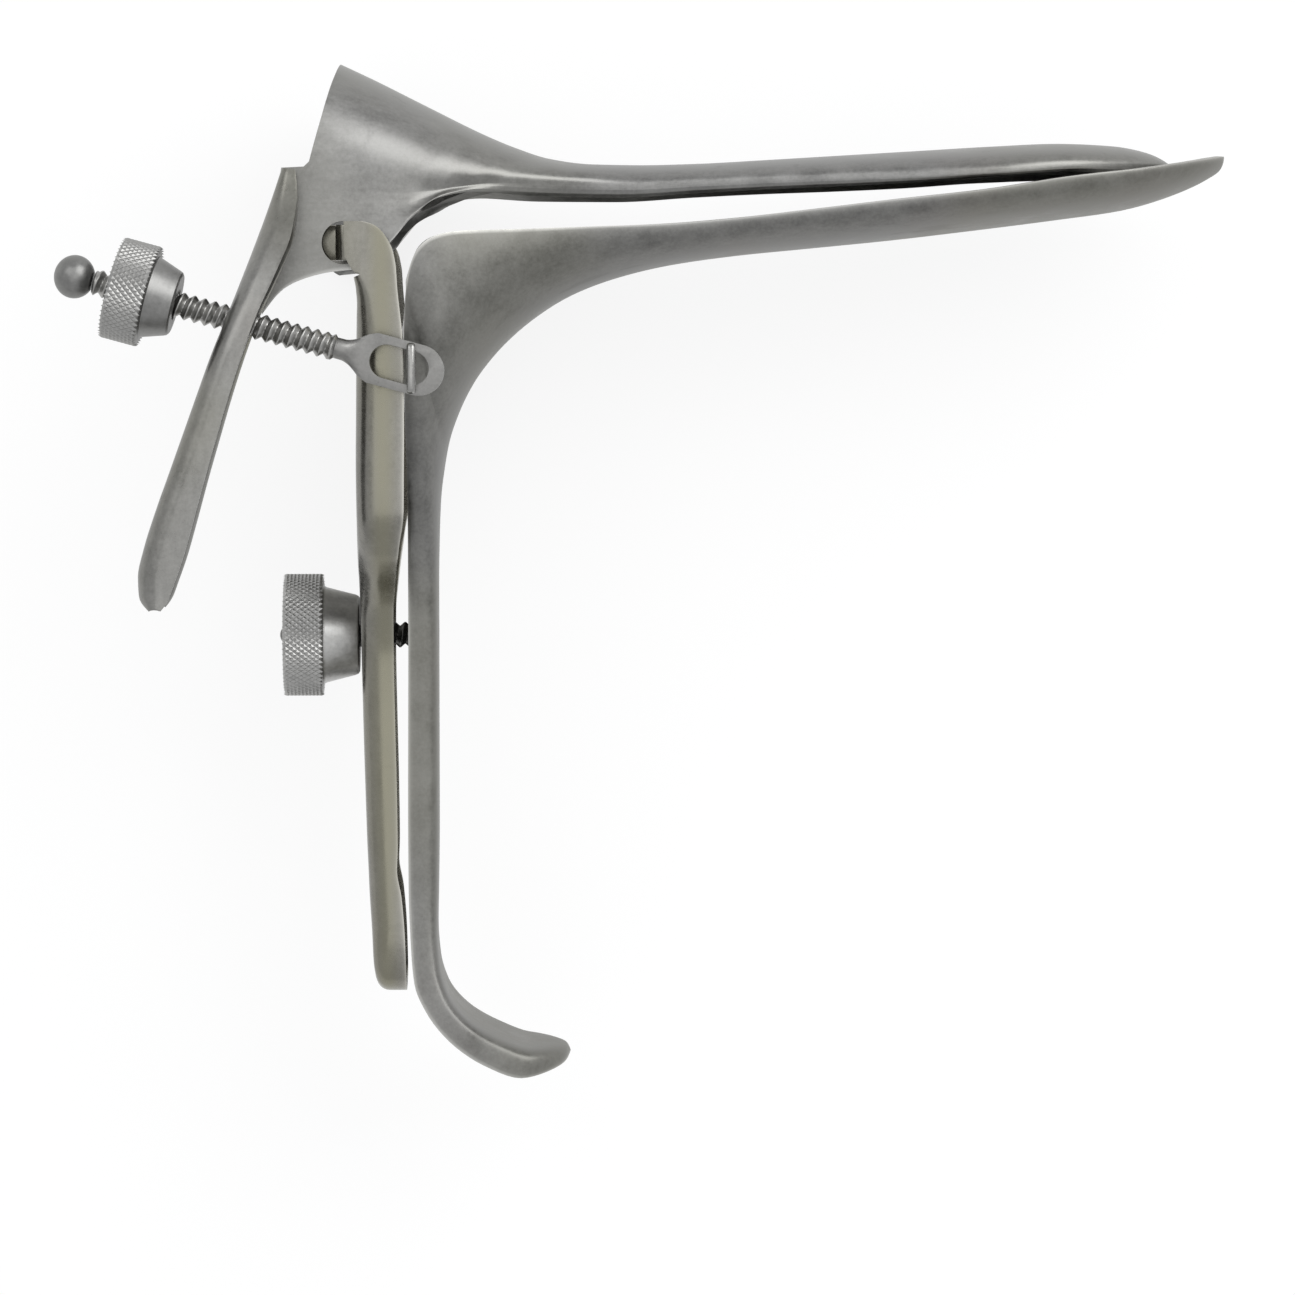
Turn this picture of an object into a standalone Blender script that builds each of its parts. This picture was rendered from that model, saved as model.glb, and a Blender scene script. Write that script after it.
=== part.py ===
"""A two-bladed speculum of satin stainless steel, closed, lying on its left side.

All drawing is in millimetres from the blade hinge: X runs forward to the blade tips, Y
runs from the handle up to the blades, and Z runs across, from the middle plane of the
instrument to the side with the lever. The middle plane then stands MIDDLE above the
floor, so that the outer face of the far arm lies on it, and the origin moves to
FACE_POINT on that face.
"""

import math

import bmesh
import bpy
import numpy as np

MM = 0.001

# Main sizes: hinge to the lower blade's tip, hinge to the foot of the hook, across the ears
BLADE_LENGTH = 117.8
HANDLE_LENGTH = 110.9
MOUTH_WIDTH = 44.0

# Sizes that several pieces share
SHEET = 1.2
EAR_FACE = MOUTH_WIDTH / 2
ARM_GAP = 0.4
ARM_INNER = EAR_FACE + ARM_GAP
ARM_OUTER = ARM_INNER + SHEET
MIDDLE = ARM_OUTER
FACE_POINT = (5.0, -15.0)
HINGE = (0.0, 0.0, 0.0)
HINGE_HOLE_R = 2.8
LEVER_GAP = 0.3

# The rod that sets the opening of the upper blade
ROD_Z = ARM_OUTER + 3.4
ROD_SLOPE = math.radians(-15.2)
ROD_RISE = math.radians(3.0)
BALL_X, BALL_Y = -34.6, -4.6
THREAD_R = 1.74
ROOT_R = 1.22
PITCH = 1.37
BORE_R = THREAD_R + 0.12
BALL_R = 2.82
BALL_SQUASH = 0.94
EYE_THICK = 1.2
EYE_REACH = 49.4
EYE_LENGTH = 12.7
EYE_WIDTH = 6.6
EYE_STRAND = 1.1
EYE_END = 2.0
LUG_THICK = 1.1

# The stud and nut that hold the arms on the handle
STUD_DOWN = 52.3
STUD_END = -9.3
SHANK_R = THREAD_R + 0.08
SHANK_HOLE_R = SHANK_R + 0.3

# The lower blade's line, as drawn: crown x y, rim x y, half width, squareness.
lower_stations = [
    (117.8, 11.0, 117.8, 11.0, 0.0, 2.0),
    (117.1, 9.9, 117.2, 11.5, 4.0, 2.0),
    (115.0, 8.6, 115.2, 11.5, 8.2, 2.1),
    (110.5, 6.6, 110.5, 10.7, 12.8, 2.2),
    (104.0, 4.7, 104.0, 9.8, 16.2, 2.3),
    (95.0, 3.4, 95.0, 8.8, 17.9, 2.4),
    (84.0, 2.0, 84.0, 7.1, 17.8, 2.4),
    (73.0, 0.7, 73.0, 5.9, 16.9, 2.4),
    (62.0, -0.4, 62.0, 4.6, 15.6, 2.4),
    (52.0, -1.4, 51.5, 3.4, 14.4, 2.4),
    (43.0, -2.7, 41.5, 2.6, 13.9, 2.4),
    (36.0, -4.4, 33.0, 2.3, 14.3, 2.4),
    (30.0, -6.7, 25.6, 2.0, 15.4, 2.5),
    (24.6, -10.1, 19.4, 1.8, 17.0, 2.6),
    (20.2, -14.1, 14.8, 1.6, 18.6, 2.7),
    (16.9, -18.4, 11.5, 0.8, 19.8, 2.8),
    (14.9, -22.4, 9.3, -1.3, 20.3, 2.9),
    (13.6, -26.2, 8.2, -5.0, 20.3, 3.0),
    (12.9, -30.0, 7.8, -11.5, 19.4, 3.0),
    (12.4, -34.2, 7.8, -20.5, 16.9, 3.1),
    (12.2, -39.2, 8.0, -30.0, 13.2, 3.3),
    (12.1, -45.5, 8.1, -39.5, 10.3, 3.6),
    (12.1, -54.0, 8.1, -50.0, 9.2, 3.8),
    (12.1, -65.0, 8.05, -63.0, 9.0, 3.8),
    (12.1, -77.0, 8.0, -76.0, 9.0, 3.8),
    (12.0, -86.0, 8.05, -86.0, 9.1, 3.8),
    (11.9, -91.6, 8.3, -93.0, 9.5, 3.6),
    (12.2, -96.1, 8.8, -98.4, 10.2, 3.4),
    (13.3, -100.0, 10.3, -102.0, 11.0, 3.2),
    (15.9, -103.3, 13.4, -105.9, 11.7, 3.0),
    (20.0, -105.8, 18.0, -109.1, 12.1, 2.8),
    (24.3, -107.3, 23.0, -110.9, 11.6, 2.6),
    (27.4, -107.8, 27.0, -109.9, 8.9, 2.4),
    (29.2, -108.2, 29.1, -109.1, 4.9, 2.2),
    (29.8, -108.7, 29.8, -108.7, 0.0, 2.0),
]
LONG = BLADE_LENGTH / lower_stations[0][0]
DROP = -HANDLE_LENGTH / min(station[3] for station in lower_stations)
WIDE = EAR_FACE / 22.0
STUD_Y = -STUD_DOWN * DROP

# The lug stands in front of the near arm. The rod is drawn from there back to its ball.
LUG_X = 7.8 * LONG + 0.5
LUG_Y = BALL_Y + (LUG_X - BALL_X) * math.tan(ROD_SLOPE)
ALONG = (LUG_X + LUG_THICK / 2 - BALL_X) / math.cos(ROD_SLOPE) / math.cos(ROD_RISE)
ANCHOR = (LUG_X + LUG_THICK / 2, LUG_Y, ROD_Z)


def on_rod(along):
    """A point of the rod's axis, counted from the centre of its ball."""
    back = along - ALONG
    flat = back * math.cos(ROD_RISE)
    return (ANCHOR[0] + flat * math.cos(ROD_SLOPE), ANCHOR[1] + flat * math.sin(ROD_SLOPE),
            ANCHOR[2] + back * math.sin(ROD_RISE))


ROD_TURN = (0, -ROD_RISE, ROD_SLOPE)
LEVEL = (0, 0, 0)


def fitted(table, signs):
    """A drawn table brought to the main sizes. Signs name its columns: x, y, z, or - as it is."""
    made = np.array(table, float)
    for column, sign in enumerate(signs):
        values = made[:, column]
        if sign == "x":
            values *= LONG
        if sign == "z":
            values *= WIDE
        if sign == "y":
            made[:, column] = np.where(values < 0, values * DROP, values)
    return made


def smooth(table, at):
    """Values of a table of rows at fractional row numbers, on curves that never overshoot."""
    table = np.asarray(table, float)
    slope = np.diff(table, axis=0)
    bend = np.zeros_like(table)
    before, after = slope[:-1], slope[1:]
    same = before * after > 0
    total = np.where(same, before + after, 1.0)
    bend[1:-1] = np.where(same, 2 * before * after / total, 0.0)
    bend[0] = slope[0] * 1.5 - bend[1] * 0.5
    bend[-1] = slope[-1] * 1.5 - bend[-2] * 0.5
    at = np.asarray(at, float)
    low = np.clip(at.astype(int), 0, len(table) - 2)
    t = (at - low)[:, None]
    rise = slope[low]
    return (
        table[low]
        + bend[low] * t
        + (3 * rise - 2 * bend[low] - bend[low + 1]) * t**2
        + (bend[low] + bend[low + 1] - 2 * rise) * t**3
    )


def half_section(width, depth, square, rows):
    """Half of a gutter's section from its crown to its rim, as fractions of depth and of width."""
    angle = np.linspace(0, math.pi / 2, 240)
    down = 1 - np.maximum(np.cos(angle), 0) ** (2 / square)
    out = np.sin(angle) ** (2 / square)
    step_down, step_out = np.diff(down) * depth, np.diff(out) * width
    step = np.hypot(step_down, step_out)
    turn = np.abs(np.diff(np.arctan2(step_down, step_out), prepend=0))
    travel = np.cumsum(0.55 * step / step.sum() + 0.45 * turn / turn.sum())
    travel = np.concatenate([[0], travel / travel[-1]])
    at = np.interp(np.linspace(0, 1, rows), travel, angle)
    return 1 - np.maximum(np.cos(at), 0) ** (2 / square), np.sin(at) ** (2 / square)


def material(name, colour, roughness):
    made = bpy.data.materials.new(name)
    made.use_nodes = True
    shader = made.node_tree.nodes["Principled BSDF"]
    shader.inputs["Base Color"].default_value = (*colour, 1)
    shader.inputs["Metallic"].default_value = 1
    shader.inputs["Roughness"].default_value = roughness
    return made


def place(made, at, turn=LEVEL):
    """Puts an object's origin at a point of the drawing."""
    x, y, z = at
    made.location = ((x - FACE_POINT[0]) * MM, (y - FACE_POINT[1]) * MM, (z + MIDDLE) * MM)
    made.rotation_euler = turn


def file_under(made, steel):
    """A piece goes with the pieces, and a shape without steel goes with the cutters."""
    if steel:
        made.data.materials.append(steel)
        pieces.objects.link(made)
    else:
        cutters.objects.link(made)
        made.hide_render = True
        made.display_type = "WIRE"


def add(name, points, faces, at, steel=None):
    """An object whose origin is at a point of the drawing. Without steel it is a cutter."""
    points = (np.asarray(points, float) - np.asarray(at, float)) * MM
    mesh = bpy.data.meshes.new(name)
    mesh.from_pydata([tuple(map(float, p)) for p in points], [], faces)
    shape = bmesh.new()
    shape.from_mesh(mesh)
    bmesh.ops.remove_doubles(shape, verts=shape.verts, dist=1e-7)
    shape.to_mesh(mesh)
    shape.free()
    mesh.validate()
    made = bpy.data.objects.new(name, mesh)
    place(made, at)
    file_under(made, steel)
    return made


def net_faces(grid):
    """Four-sided faces between the points of a grid, leaving out those with a missing corner."""
    there = ~np.isnan(grid).any(axis=2)
    number = np.cumsum(there.ravel()).reshape(there.shape) - 1
    faces = []
    for i in range(grid.shape[0] - 1):
        for j in range(grid.shape[1] - 1):
            if there[i : i + 2, j : j + 2].all():
                corners = number[i, j], number[i, j + 1], number[i + 1, j + 1], number[i + 1, j]
                faces.append(tuple(int(c) for c in corners))
    return grid[there], faces


def pressed(name, grid, at, steel, offset, mirrored=True):
    """A pressed sheet: a net of one half, mirrored and given its thickness."""
    points, faces = net_faces(grid)
    made = add(name, points, faces, at, steel)
    if mirrored:
        mirror = made.modifiers.new("Mirror", "MIRROR")
        mirror.use_axis = (False, False, True)
        mirror.merge_threshold = 0.00001
    shell = made.modifiers.new("Sheet", "SOLIDIFY")
    shell.thickness = SHEET * MM
    shell.offset = offset
    shell.use_even_offset = True
    return made


def boolean(made, other, operation="DIFFERENCE"):
    cut = made.modifiers.new(other.name, "BOOLEAN")
    cut.operation = operation
    cut.solver = "EXACT"
    cut.object = other


def prism(name, outline, low, high, axis, at, steel=None):
    """A closed outline drawn on the two axes across the given one and carried from low to high."""
    count = len(outline)
    points = []
    for level in (low, high):
        for a, b in outline:
            points.append({"X": (level, a, b), "Y": (a, level, b), "Z": (a, b, level)}[axis])
    faces = [tuple(range(count))[::-1], tuple(range(count, 2 * count))]
    faces += [(i, (i + 1) % count, count + (i + 1) % count, count + i) for i in range(count)]
    made = add(name, points, faces, at, steel)
    shape = bmesh.new()
    shape.from_mesh(made.data)
    bmesh.ops.recalc_face_normals(shape, faces=shape.faces)
    shape.to_mesh(made.data)
    shape.free()
    return made


def round_outline(centre, radius, sides):
    turns = [2 * math.pi * i / sides for i in range(sides)]
    return [(centre[0] + radius * math.cos(a), centre[1] + radius * math.sin(a)) for a in turns]


def long_hole(low, high, across, radius, sides=8):
    """A slot's outline with round ends, running along the first axis."""
    ends = []
    for centre, start in ((high, -math.pi / 2), (low, math.pi / 2)):
        for i in range(sides + 1):
            a = start + math.pi * i / sides
            ends.append((centre + radius * math.cos(a), across + radius * math.sin(a)))
    return ends


def turned(name, profile, sides, at, turned_by, steel=None):
    """A closed profile (distance along the axis, radius) turned about the X axis."""
    outline = bpy.data.meshes.new(name)
    count = len(profile)
    edges = [(i, (i + 1) % count) for i in range(count)]
    edges = [(i, j) for i, j in edges if profile[i][1] + profile[j][1] > 0]
    outline.from_pydata([(a * MM, r * MM, 0) for a, r in profile], edges, [])
    made = bpy.data.objects.new(name, outline)
    place(made, at, turned_by)
    turn = made.modifiers.new("Turn", "SCREW")
    turn.axis = "X"
    turn.angle = 2 * math.pi
    turn.steps = turn.render_steps = sides
    turn.use_merge_vertices = True
    turn.merge_threshold = 0.00001
    turn.use_normal_flip = True
    file_under(made, steel)
    return made


def thread_points(low, high, sides=10):
    """A coarse V thread along X: two rings to the turn, one at the root and one at the crest."""
    turns = int((high - low) / PITCH) - 1
    points, faces = [], []
    rings = 2 * turns + 1
    for ring in range(rings):
        radius = (ROOT_R, THREAD_R)[ring % 2]
        for side in range(sides):
            a = 2 * math.pi * side / sides
            along = low + PITCH * (ring / 2 + side / sides)
            points.append((along, radius * math.cos(a), radius * math.sin(a)))
    for ring in range(rings - 1):
        for side in range(sides):
            here, up = ring * sides + side, (ring + 1) * sides + side
            if side + 1 < sides:
                faces.append((here, up, up + 1, here + 1))
            elif ring + 3 < rings:
                faces.append((here, up, (ring + 3) * sides, (ring + 2) * sides))
    last = (rings - 1) * sides
    first_edge = list(range(sides)) + [2 * sides, sides]
    last_edge = [last + i for i in range(sides)] + [last - 1, last - 1 - sides]
    points += [(low, 0, 0), (high, 0, 0)]
    middle_low, middle_high = len(points) - 2, len(points) - 1
    for edge, middle, turned_round in ((first_edge, middle_low, False), (last_edge, middle_high, True)):
        for i, a in enumerate(edge):
            b = edge[(i + 1) % len(edge)]
            faces.append((b, a, middle) if turned_round else (a, b, middle))
    return points, faces


def threaded(name, low, high, at, turned_by, sides=10):
    """The closed thread as a piece to be joined to a rod."""
    points, faces = thread_points(low, high, sides)
    mesh = bpy.data.meshes.new(name)
    mesh.from_pydata([(x * MM, y * MM, z * MM) for x, y, z in points], [], faces)
    shape = bmesh.new()
    shape.from_mesh(mesh)
    bmesh.ops.recalc_face_normals(shape, faces=shape.faces)
    shape.to_mesh(mesh)
    shape.free()
    made = bpy.data.objects.new(name, mesh)
    place(made, at, turned_by)
    file_under(made, None)
    return made


for old in list(bpy.data.objects):
    bpy.data.objects.remove(old)
pieces = bpy.data.collections.new("speculum")
cutters = bpy.data.collections.new("cutters")
cutters.hide_render = True
bpy.context.scene.collection.children.link(pieces)
bpy.context.scene.collection.children.link(cutters)

BLADE_STEEL = (0.50, 0.49, 0.47)
FRAME_STEEL = (0.56, 0.54, 0.50)
NUT_STEEL = (0.62, 0.61, 0.60)


# Upper blade: one pressed sheet. An arched blade flares open at its mouth, and the
# sides of the mouth run down into two flat ears with the hinge holes.
# Columns: crown x y, spring x y (top of the flat side), rim x y, half width, squareness.
upper_stations = [
    (-0.7, 24.0, -4.4, 10.6, -10.6, -9.3, 22.0, 2.5),
    (4.2, 21.7, -1.2, 9.8, -7.2, -5.6, 22.0, 2.5),
    (8.6, 19.5, 2.6, 8.8, -2.4, -3.9, 22.0, 2.5),
    (12.6, 17.5, 6.0, 7.9, 2.6, -3.2, 22.0, 2.5),
    (15.8, 15.9, 8.9, 7.4, 6.3, 0.3, 21.9, 2.5),
    (19.0, 14.4, 11.7, 7.2, 9.2, 3.6, 21.2, 2.5),
    (22.7, 12.9, 15.0, 7.5, 12.7, 6.0, 19.8, 2.4),
    (27.2, 11.5, 19.6, 8.0, 17.8, 6.7, 17.4, 2.3),
    (32.8, 10.8, 27.0, 7.8, 25.8, 6.2, 14.8, 2.3),
    (39.5, 10.7, 36.8, 7.6, 36.3, 6.1, 13.3, 2.3),
    (47.0, 10.9, 46.5, 8.0, 46.5, 6.7, 13.3, 2.3),
    (56.0, 11.4, 56.0, 8.4, 56.0, 7.2, 14.2, 2.3),
    (66.0, 12.0, 66.0, 8.7, 66.0, 7.6, 15.4, 2.3),
    (76.0, 12.6, 76.0, 9.0, 76.0, 8.1, 16.5, 2.3),
    (86.0, 13.2, 86.0, 9.5, 86.0, 8.8, 16.9, 2.3),
    (95.0, 13.6, 95.0, 10.3, 95.0, 9.8, 15.9, 2.2),
    (102.5, 13.3, 102.5, 11.0, 102.5, 10.6, 12.6, 2.1),
    (107.5, 12.3, 107.5, 11.1, 107.5, 10.9, 8.2, 2.0),
    (109.8, 11.6, 109.8, 11.1, 109.8, 10.9, 4.1, 2.0),
    (110.5, 11.1, 110.5, 11.1, 110.5, 11.1, 0.0, 2.0),
]
ARCH_ROWS = 8
RIM_TURNED_IN = 0.8
EAR_CORNERS = [(-4.4, 10.5), (-5.1, 9.85), (-8.0, 9.7), (-9.3, 0.5), (-10.6, -9.3)]


def upper_net():
    last = len(upper_stations) - 1
    at = np.concatenate([np.arange(0, 10, 0.5), np.arange(10, last - 3, 1),
                         np.arange(last - 3, last + 0.1, 0.5)])
    rows = []
    for x0, y0, x1, y1, x2, y2, width, square in smooth(fitted(upper_stations, "x-x-x-z-"), at):
        down, out = half_section(width, math.hypot(x1 - x0, y1 - y0) + 1e-6, square, ARCH_ROWS)
        arch = [(x0 + (x1 - x0) * d, y0 + (y1 - y0) * d, width * o) for d, o in zip(down, out)]
        lip = min(RIM_TURNED_IN * max(0, (x2 / LONG - 12) / 12), RIM_TURNED_IN, width / 4)
        side = [(x1 + (x2 - x1) * f, y1 + (y2 - y1) * f, width - lip * g)
                for f, g in ((0.12, 0), (0.35, 0.05), (0.68, 0.35), (1.0, 1))]
        rows.append(arch + side)
    net = np.array(rows)
    for row, (x, y) in enumerate(EAR_CORNERS, ARCH_ROWS - 1):
        net[0, row, :2] = x, y
    return net


blade_steel = material("upper_blade_steel", BLADE_STEEL, 0.32)
upper_blade = pressed("upper_blade", upper_net(), HINGE, blade_steel, -1)
hinge_hole = prism("hinge_hole", round_outline((0, 0), HINGE_HOLE_R, 24), -40, 40, "Z", HINGE)
boolean(upper_blade, hinge_hole)

# The far ear carries no lever, so it is only a round lobe about the hinge.
LOBE_R = HINGE_HOLE_R + 1.4
lobe = [(LOBE_R * math.cos(a), LOBE_R * math.sin(a)) for a in np.radians(np.arange(180, 311, 13))]
lobe_waste = lobe + [(5.0, -14.0), (-16.0, -14.0), (-16.0, 14.0), (-4.9, 14.0), (-4.9, 10.5)]
boolean(upper_blade, prism("lobe_waste", lobe_waste, -EAR_FACE - 3, -EAR_FACE + 2.4, "Z", HINGE))


# Lower blade: one pressed gutter from the blade tip, through the deep throat, down the
# handle to the hook. It is open upwards on the blade and open to the back on the handle.
LOWER_ROWS = 10


def lower_net():
    last = len(lower_stations) - 1
    at = np.concatenate([np.arange(0, 3, 0.5), np.arange(3, 11, 1), np.arange(11, 22, 0.5),
                         np.arange(22, 26, 1), np.arange(26, last + 0.1, 0.5)])
    rows = []
    for x0, y0, x1, y1, width, square in smooth(fitted(lower_stations, "xyxyz-"), at):
        down, out = half_section(width, math.hypot(x1 - x0, y1 - y0) + 1e-6, square, LOWER_ROWS)
        rows.append([(x0 + (x1 - x0) * d, y0 + (y1 - y0) * d, width * o) for d, o in zip(down, out)])
    return np.array(rows)


lower_steel = material("lower_blade_steel", BLADE_STEEL, 0.34)
lower_blade = pressed("lower_blade", lower_net(), HINGE, lower_steel, -1)
stud_hole = turned("stud_hole", [(5, 0), (5, SHANK_HOLE_R), (20, SHANK_HOLE_R), (20, 0)], 20,
                   (0, STUD_Y, 0), LEVEL)
boolean(lower_blade, stud_hole)


# Clamp stud: a coarse threaded stud whose plain shank is riveted through the handle.
stud_steel = material("clamp_stud_steel", NUT_STEEL, 0.35)
clamp_stud = turned(
    "clamp_stud",
    [(9.0, 0), (9.0, 0.8), (9.9, SHANK_R), (11.95, SHANK_R), (11.95, 0)],
    20, (0, STUD_Y, 0), LEVEL, stud_steel,
)
boolean(clamp_stud, threaded("stud_thread", STUD_END + 1.2, 10.4, (0, STUD_Y, 0), LEVEL), "UNION")
stud_dome = turned(
    "stud_dome",
    [(STUD_END, 0), (STUD_END + 0.15, 0.7), (STUD_END + 0.5, 1.2), (STUD_END + 0.9, 1.45),
     (STUD_END + 2.2, 1.45), (STUD_END + 2.2, 0)],
    16, (0, STUD_Y, 0), LEVEL,
)
boolean(clamp_stud, stud_dome, "UNION")


# Clamp nut: a knurled disc with a tapered boss, bored to clear the stud.
clamp_nut_steel = material("clamp_nut_steel", NUT_STEEL, 0.3)
clamp_nut = turned(
    "clamp_nut",
    [(-8.7, BORE_R + 0.35), (-8.7, 7.6), (-8.1, 8.2), (-4.0, 8.2), (-3.4, 7.6), (-3.3, 6.5),
     (-3.0, 6.35), (0.6, 5.4), (1.0, 5.0), (1.0, BORE_R + 0.3), (0.7, BORE_R), (-8.35, BORE_R)],
    40, (0, STUD_Y, 0), LEVEL, clamp_nut_steel,
)


# Yoke frame: one pressed sheet that faces the operator. Two arms rise to the hinge and
# meet in a slotted channel along the handle; the outer edge is flanged forward all round.
# Columns: outer edge y z, inner edge y z, back face x, front edge x of the flange.
MID = ARM_OUTER - SHEET / 2
yoke_tab = [
    (2.75, 0.1, 2.5),
    (2.3, 0.1, 4.0),
    (1.5, 0.1, 5.0),
    (0.2, 0.1, 5.9),
    (-0.9, 0.15, 6.4),
    (-2.2, 0.6, 6.7),
    (-3.4, 1.4, 6.85),
    (-7.2, 1.75, 7.15),
]
yoke_stations = [
    (-7.7, MID, -8.0, 22.0, 1.75, 7.2),
    (-9.4, MID, -9.9, 18.2, 1.7, 7.4),
    (-12.0, MID, -12.4, 16.6, 1.65, 7.65),
    (-17.0, MID, -16.5, 16.3, 1.6, 7.8),
    (-23.5, MID, -21.5, 16.2, 1.55, 7.85),
    (-29.5, MID, -26.0, 15.6, 1.5, 7.8),
    (-35.0, MID - 0.2, -29.4, 13.3, 1.55, 7.75),
    (-39.2, 21.4, -31.2, 9.6, 1.6, 7.15),
    (-42.6, 17.9, -31.9, 5.0, 1.6, 6.7),
    (-45.6, 13.6, -32.0, 0.0, 1.65, 6.4),
    (-49.2, 10.2, -39.0, 0.0, 1.7, 6.15),
    (-54.5, 8.7, -50.0, 0.0, 1.8, 6.15),
    (-63.0, 8.4, -62.0, 0.0, 2.0, 6.3),
    (-72.0, 8.4, -72.0, 0.0, 2.25, 6.5),
    (-80.0, 8.4, -80.0, 0.0, 2.5, 6.6),
    (-83.4, 8.4, -83.0, 0.0, 2.65, 6.5),
    (-87.0, 8.4, -86.5, 0.0, 2.8, 7.1),
    (-92.0, 8.4, -90.5, 0.0, 3.1, 7.5),
    (-96.2, 8.0, -93.0, 0.0, 3.3, 7.65),
    (-98.5, 6.3, -94.2, 0.0, 3.6, 7.7),
    (-99.4, 3.6, -94.8, 0.0, 3.8, 7.7),
    (-99.5, 0.0, -95.2, 0.0, 3.9, 7.7),
]
FOLD_R = 1.0
SLOT_LOW, SLOT_HIGH, SLOT_R = -78.5 * DROP, -43.0 * DROP, 2.15


def yoke_net():
    none = (math.nan, math.nan, math.nan)
    rows = []
    for y, left, right in fitted(yoke_tab, "yxx"):
        row = [(right + (left - right) * f, y, MID) for f in (0, 0.35, 0.7, 1)]
        rows.append(row + [none] * 6)
    at = np.concatenate([np.arange(0, 6, 1), np.arange(6, 12, 0.5), np.arange(12, 21.1, 1)])
    for y0, z0, y1, z1, back, front in smooth(fitted(yoke_stations, "yzyzxx"), at):
        away = math.hypot(y1 - y0, z1 - z0)
        in_y, in_z = (y1 - y0) / away, (z1 - z0) / away
        plate = back + SHEET / 2
        fold = FOLD_R * min(1, max(0.15, away / 6))
        flat = plate + fold
        row = [(front + (flat - front) * f, y0, z0) for f in (0, 0.35, 0.7, 1)]
        for turn in (30, 60, 90):
            a = math.radians(turn)
            inward = fold * (1 - math.cos(a))
            row.append((flat - fold * math.sin(a), y0 + in_y * inward, z0 + in_z * inward))
        for f in (0.36, 0.68, 1):
            inward = fold + (away - fold) * f
            row.append((plate, y0 + in_y * inward, z0 + in_z * inward))
        rows.append(row)
    return np.array(rows)


yoke_steel = material("yoke_frame_steel", FRAME_STEEL, 0.24)
yoke_frame = pressed("yoke_frame", yoke_net(), HINGE, yoke_steel, 0)
stud_slot = prism("stud_slot", long_hole(SLOT_LOW, SLOT_HIGH, 0, SLOT_R), 0, 6, "X", HINGE)
boolean(yoke_frame, stud_slot)

# Hinge tongues: each arm's edge folds in through the ear's hole and out behind it.
TONGUE = SHEET - 0.1
TONGUE_HALF = 2.05
LIP_OUT = EAR_FACE - SHEET - 0.4
tongue_line = [
    (0.9, ARM_OUTER - 0.05), (-0.55, ARM_OUTER - 0.05), (-1.2, ARM_OUTER - 0.7),
    (-1.2, LIP_OUT), (-3.9, LIP_OUT), (-3.9, LIP_OUT - TONGUE), (-0.7, LIP_OUT - TONGUE),
    (-0.1, LIP_OUT - TONGUE + 0.6), (-0.1, ARM_INNER + 0.05), (0.9, ARM_INNER + 0.05),
]
for side, label in ((1, "near"), (-1, "far")):
    outline = [(x, z * side) for x, z in tongue_line]
    tongue = prism(label + "_tongue", outline, -TONGUE_HALF, TONGUE_HALF, "Y", HINGE)
    boolean(yoke_frame, tongue, "UNION")


# Screw lug: a T-headed lug in front of the near arm. It stands through the rod's eye.
lug_steel = material("screw_lug_steel", FRAME_STEEL, 0.28)
NECK_HALF, HEAD_HALF, FOOT_HALF = 1.6, 3.3, 2.6
NECK_LOW, NECK_HIGH = ARM_OUTER + 0.9, ROD_Z + EYE_THICK / 2 + 0.35
lug_outline = [
    (-FOOT_HALF, ARM_INNER), (FOOT_HALF, ARM_INNER), (FOOT_HALF, NECK_LOW - 0.4),
    (NECK_HALF, NECK_LOW), (NECK_HALF, NECK_HIGH), (HEAD_HALF, NECK_HIGH),
    (HEAD_HALF, NECK_HIGH + 1.0), (HEAD_HALF - 0.4, NECK_HIGH + 1.4),
    (-HEAD_HALF + 0.4, NECK_HIGH + 1.4), (-HEAD_HALF, NECK_HIGH + 1.0),
    (-HEAD_HALF, NECK_HIGH), (-NECK_HALF, NECK_HIGH), (-NECK_HALF, NECK_LOW),
    (-FOOT_HALF, NECK_LOW - 0.4),
]
screw_lug = prism(
    "screw_lug", [(LUG_Y + a, b) for a, b in lug_outline],
    LUG_X, LUG_X + LUG_THICK, "X", HINGE, lug_steel,
)
lug_round = screw_lug.modifiers.new("Round", "BEVEL")
lug_round.width = 0.12 * MM
lug_round.segments = 1


# Thumb lever: a channel-shaped lever brazed to the near ear. Its web faces the operator
# and is slotted for the rod; its near flange covers the rod.
# Columns: left edge x y, right edge x y, height of the near flange above the ear.
lever_stations = [
    (-7.9, 9.4, -6.1, 9.2, 2.6),
    (-9.3, 5.0, -5.8, 5.4, 4.2),
    (-11.2, -0.6, -6.3, 1.0, 7.0),
    (-13.2, -6.0, -8.4, -4.4, 9.4),
    (-15.1, -10.8, -10.8, -9.6, 10.8),
    (-16.8, -14.9, -12.6, -14.3, 11.4),
    (-18.6, -19.8, -14.4, -19.8, 11.6),
    (-20.4, -24.8, -16.0, -25.2, 11.7),
    (-22.2, -29.8, -17.5, -30.4, 11.8),
    (-24.0, -34.8, -19.0, -35.9, 11.9),
    (-25.4, -39.2, -20.4, -40.8, 12.0),
    (-26.2, -42.8, -21.5, -43.9, 12.0),
    (-26.1, -45.2, -22.3, -46.0, 12.0),
    (-24.9, -46.8, -23.2, -47.3, 12.0),
]
LEVER_LOW = EAR_FACE + LEVER_GAP
LEVER_FOLD = 1.0


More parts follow.
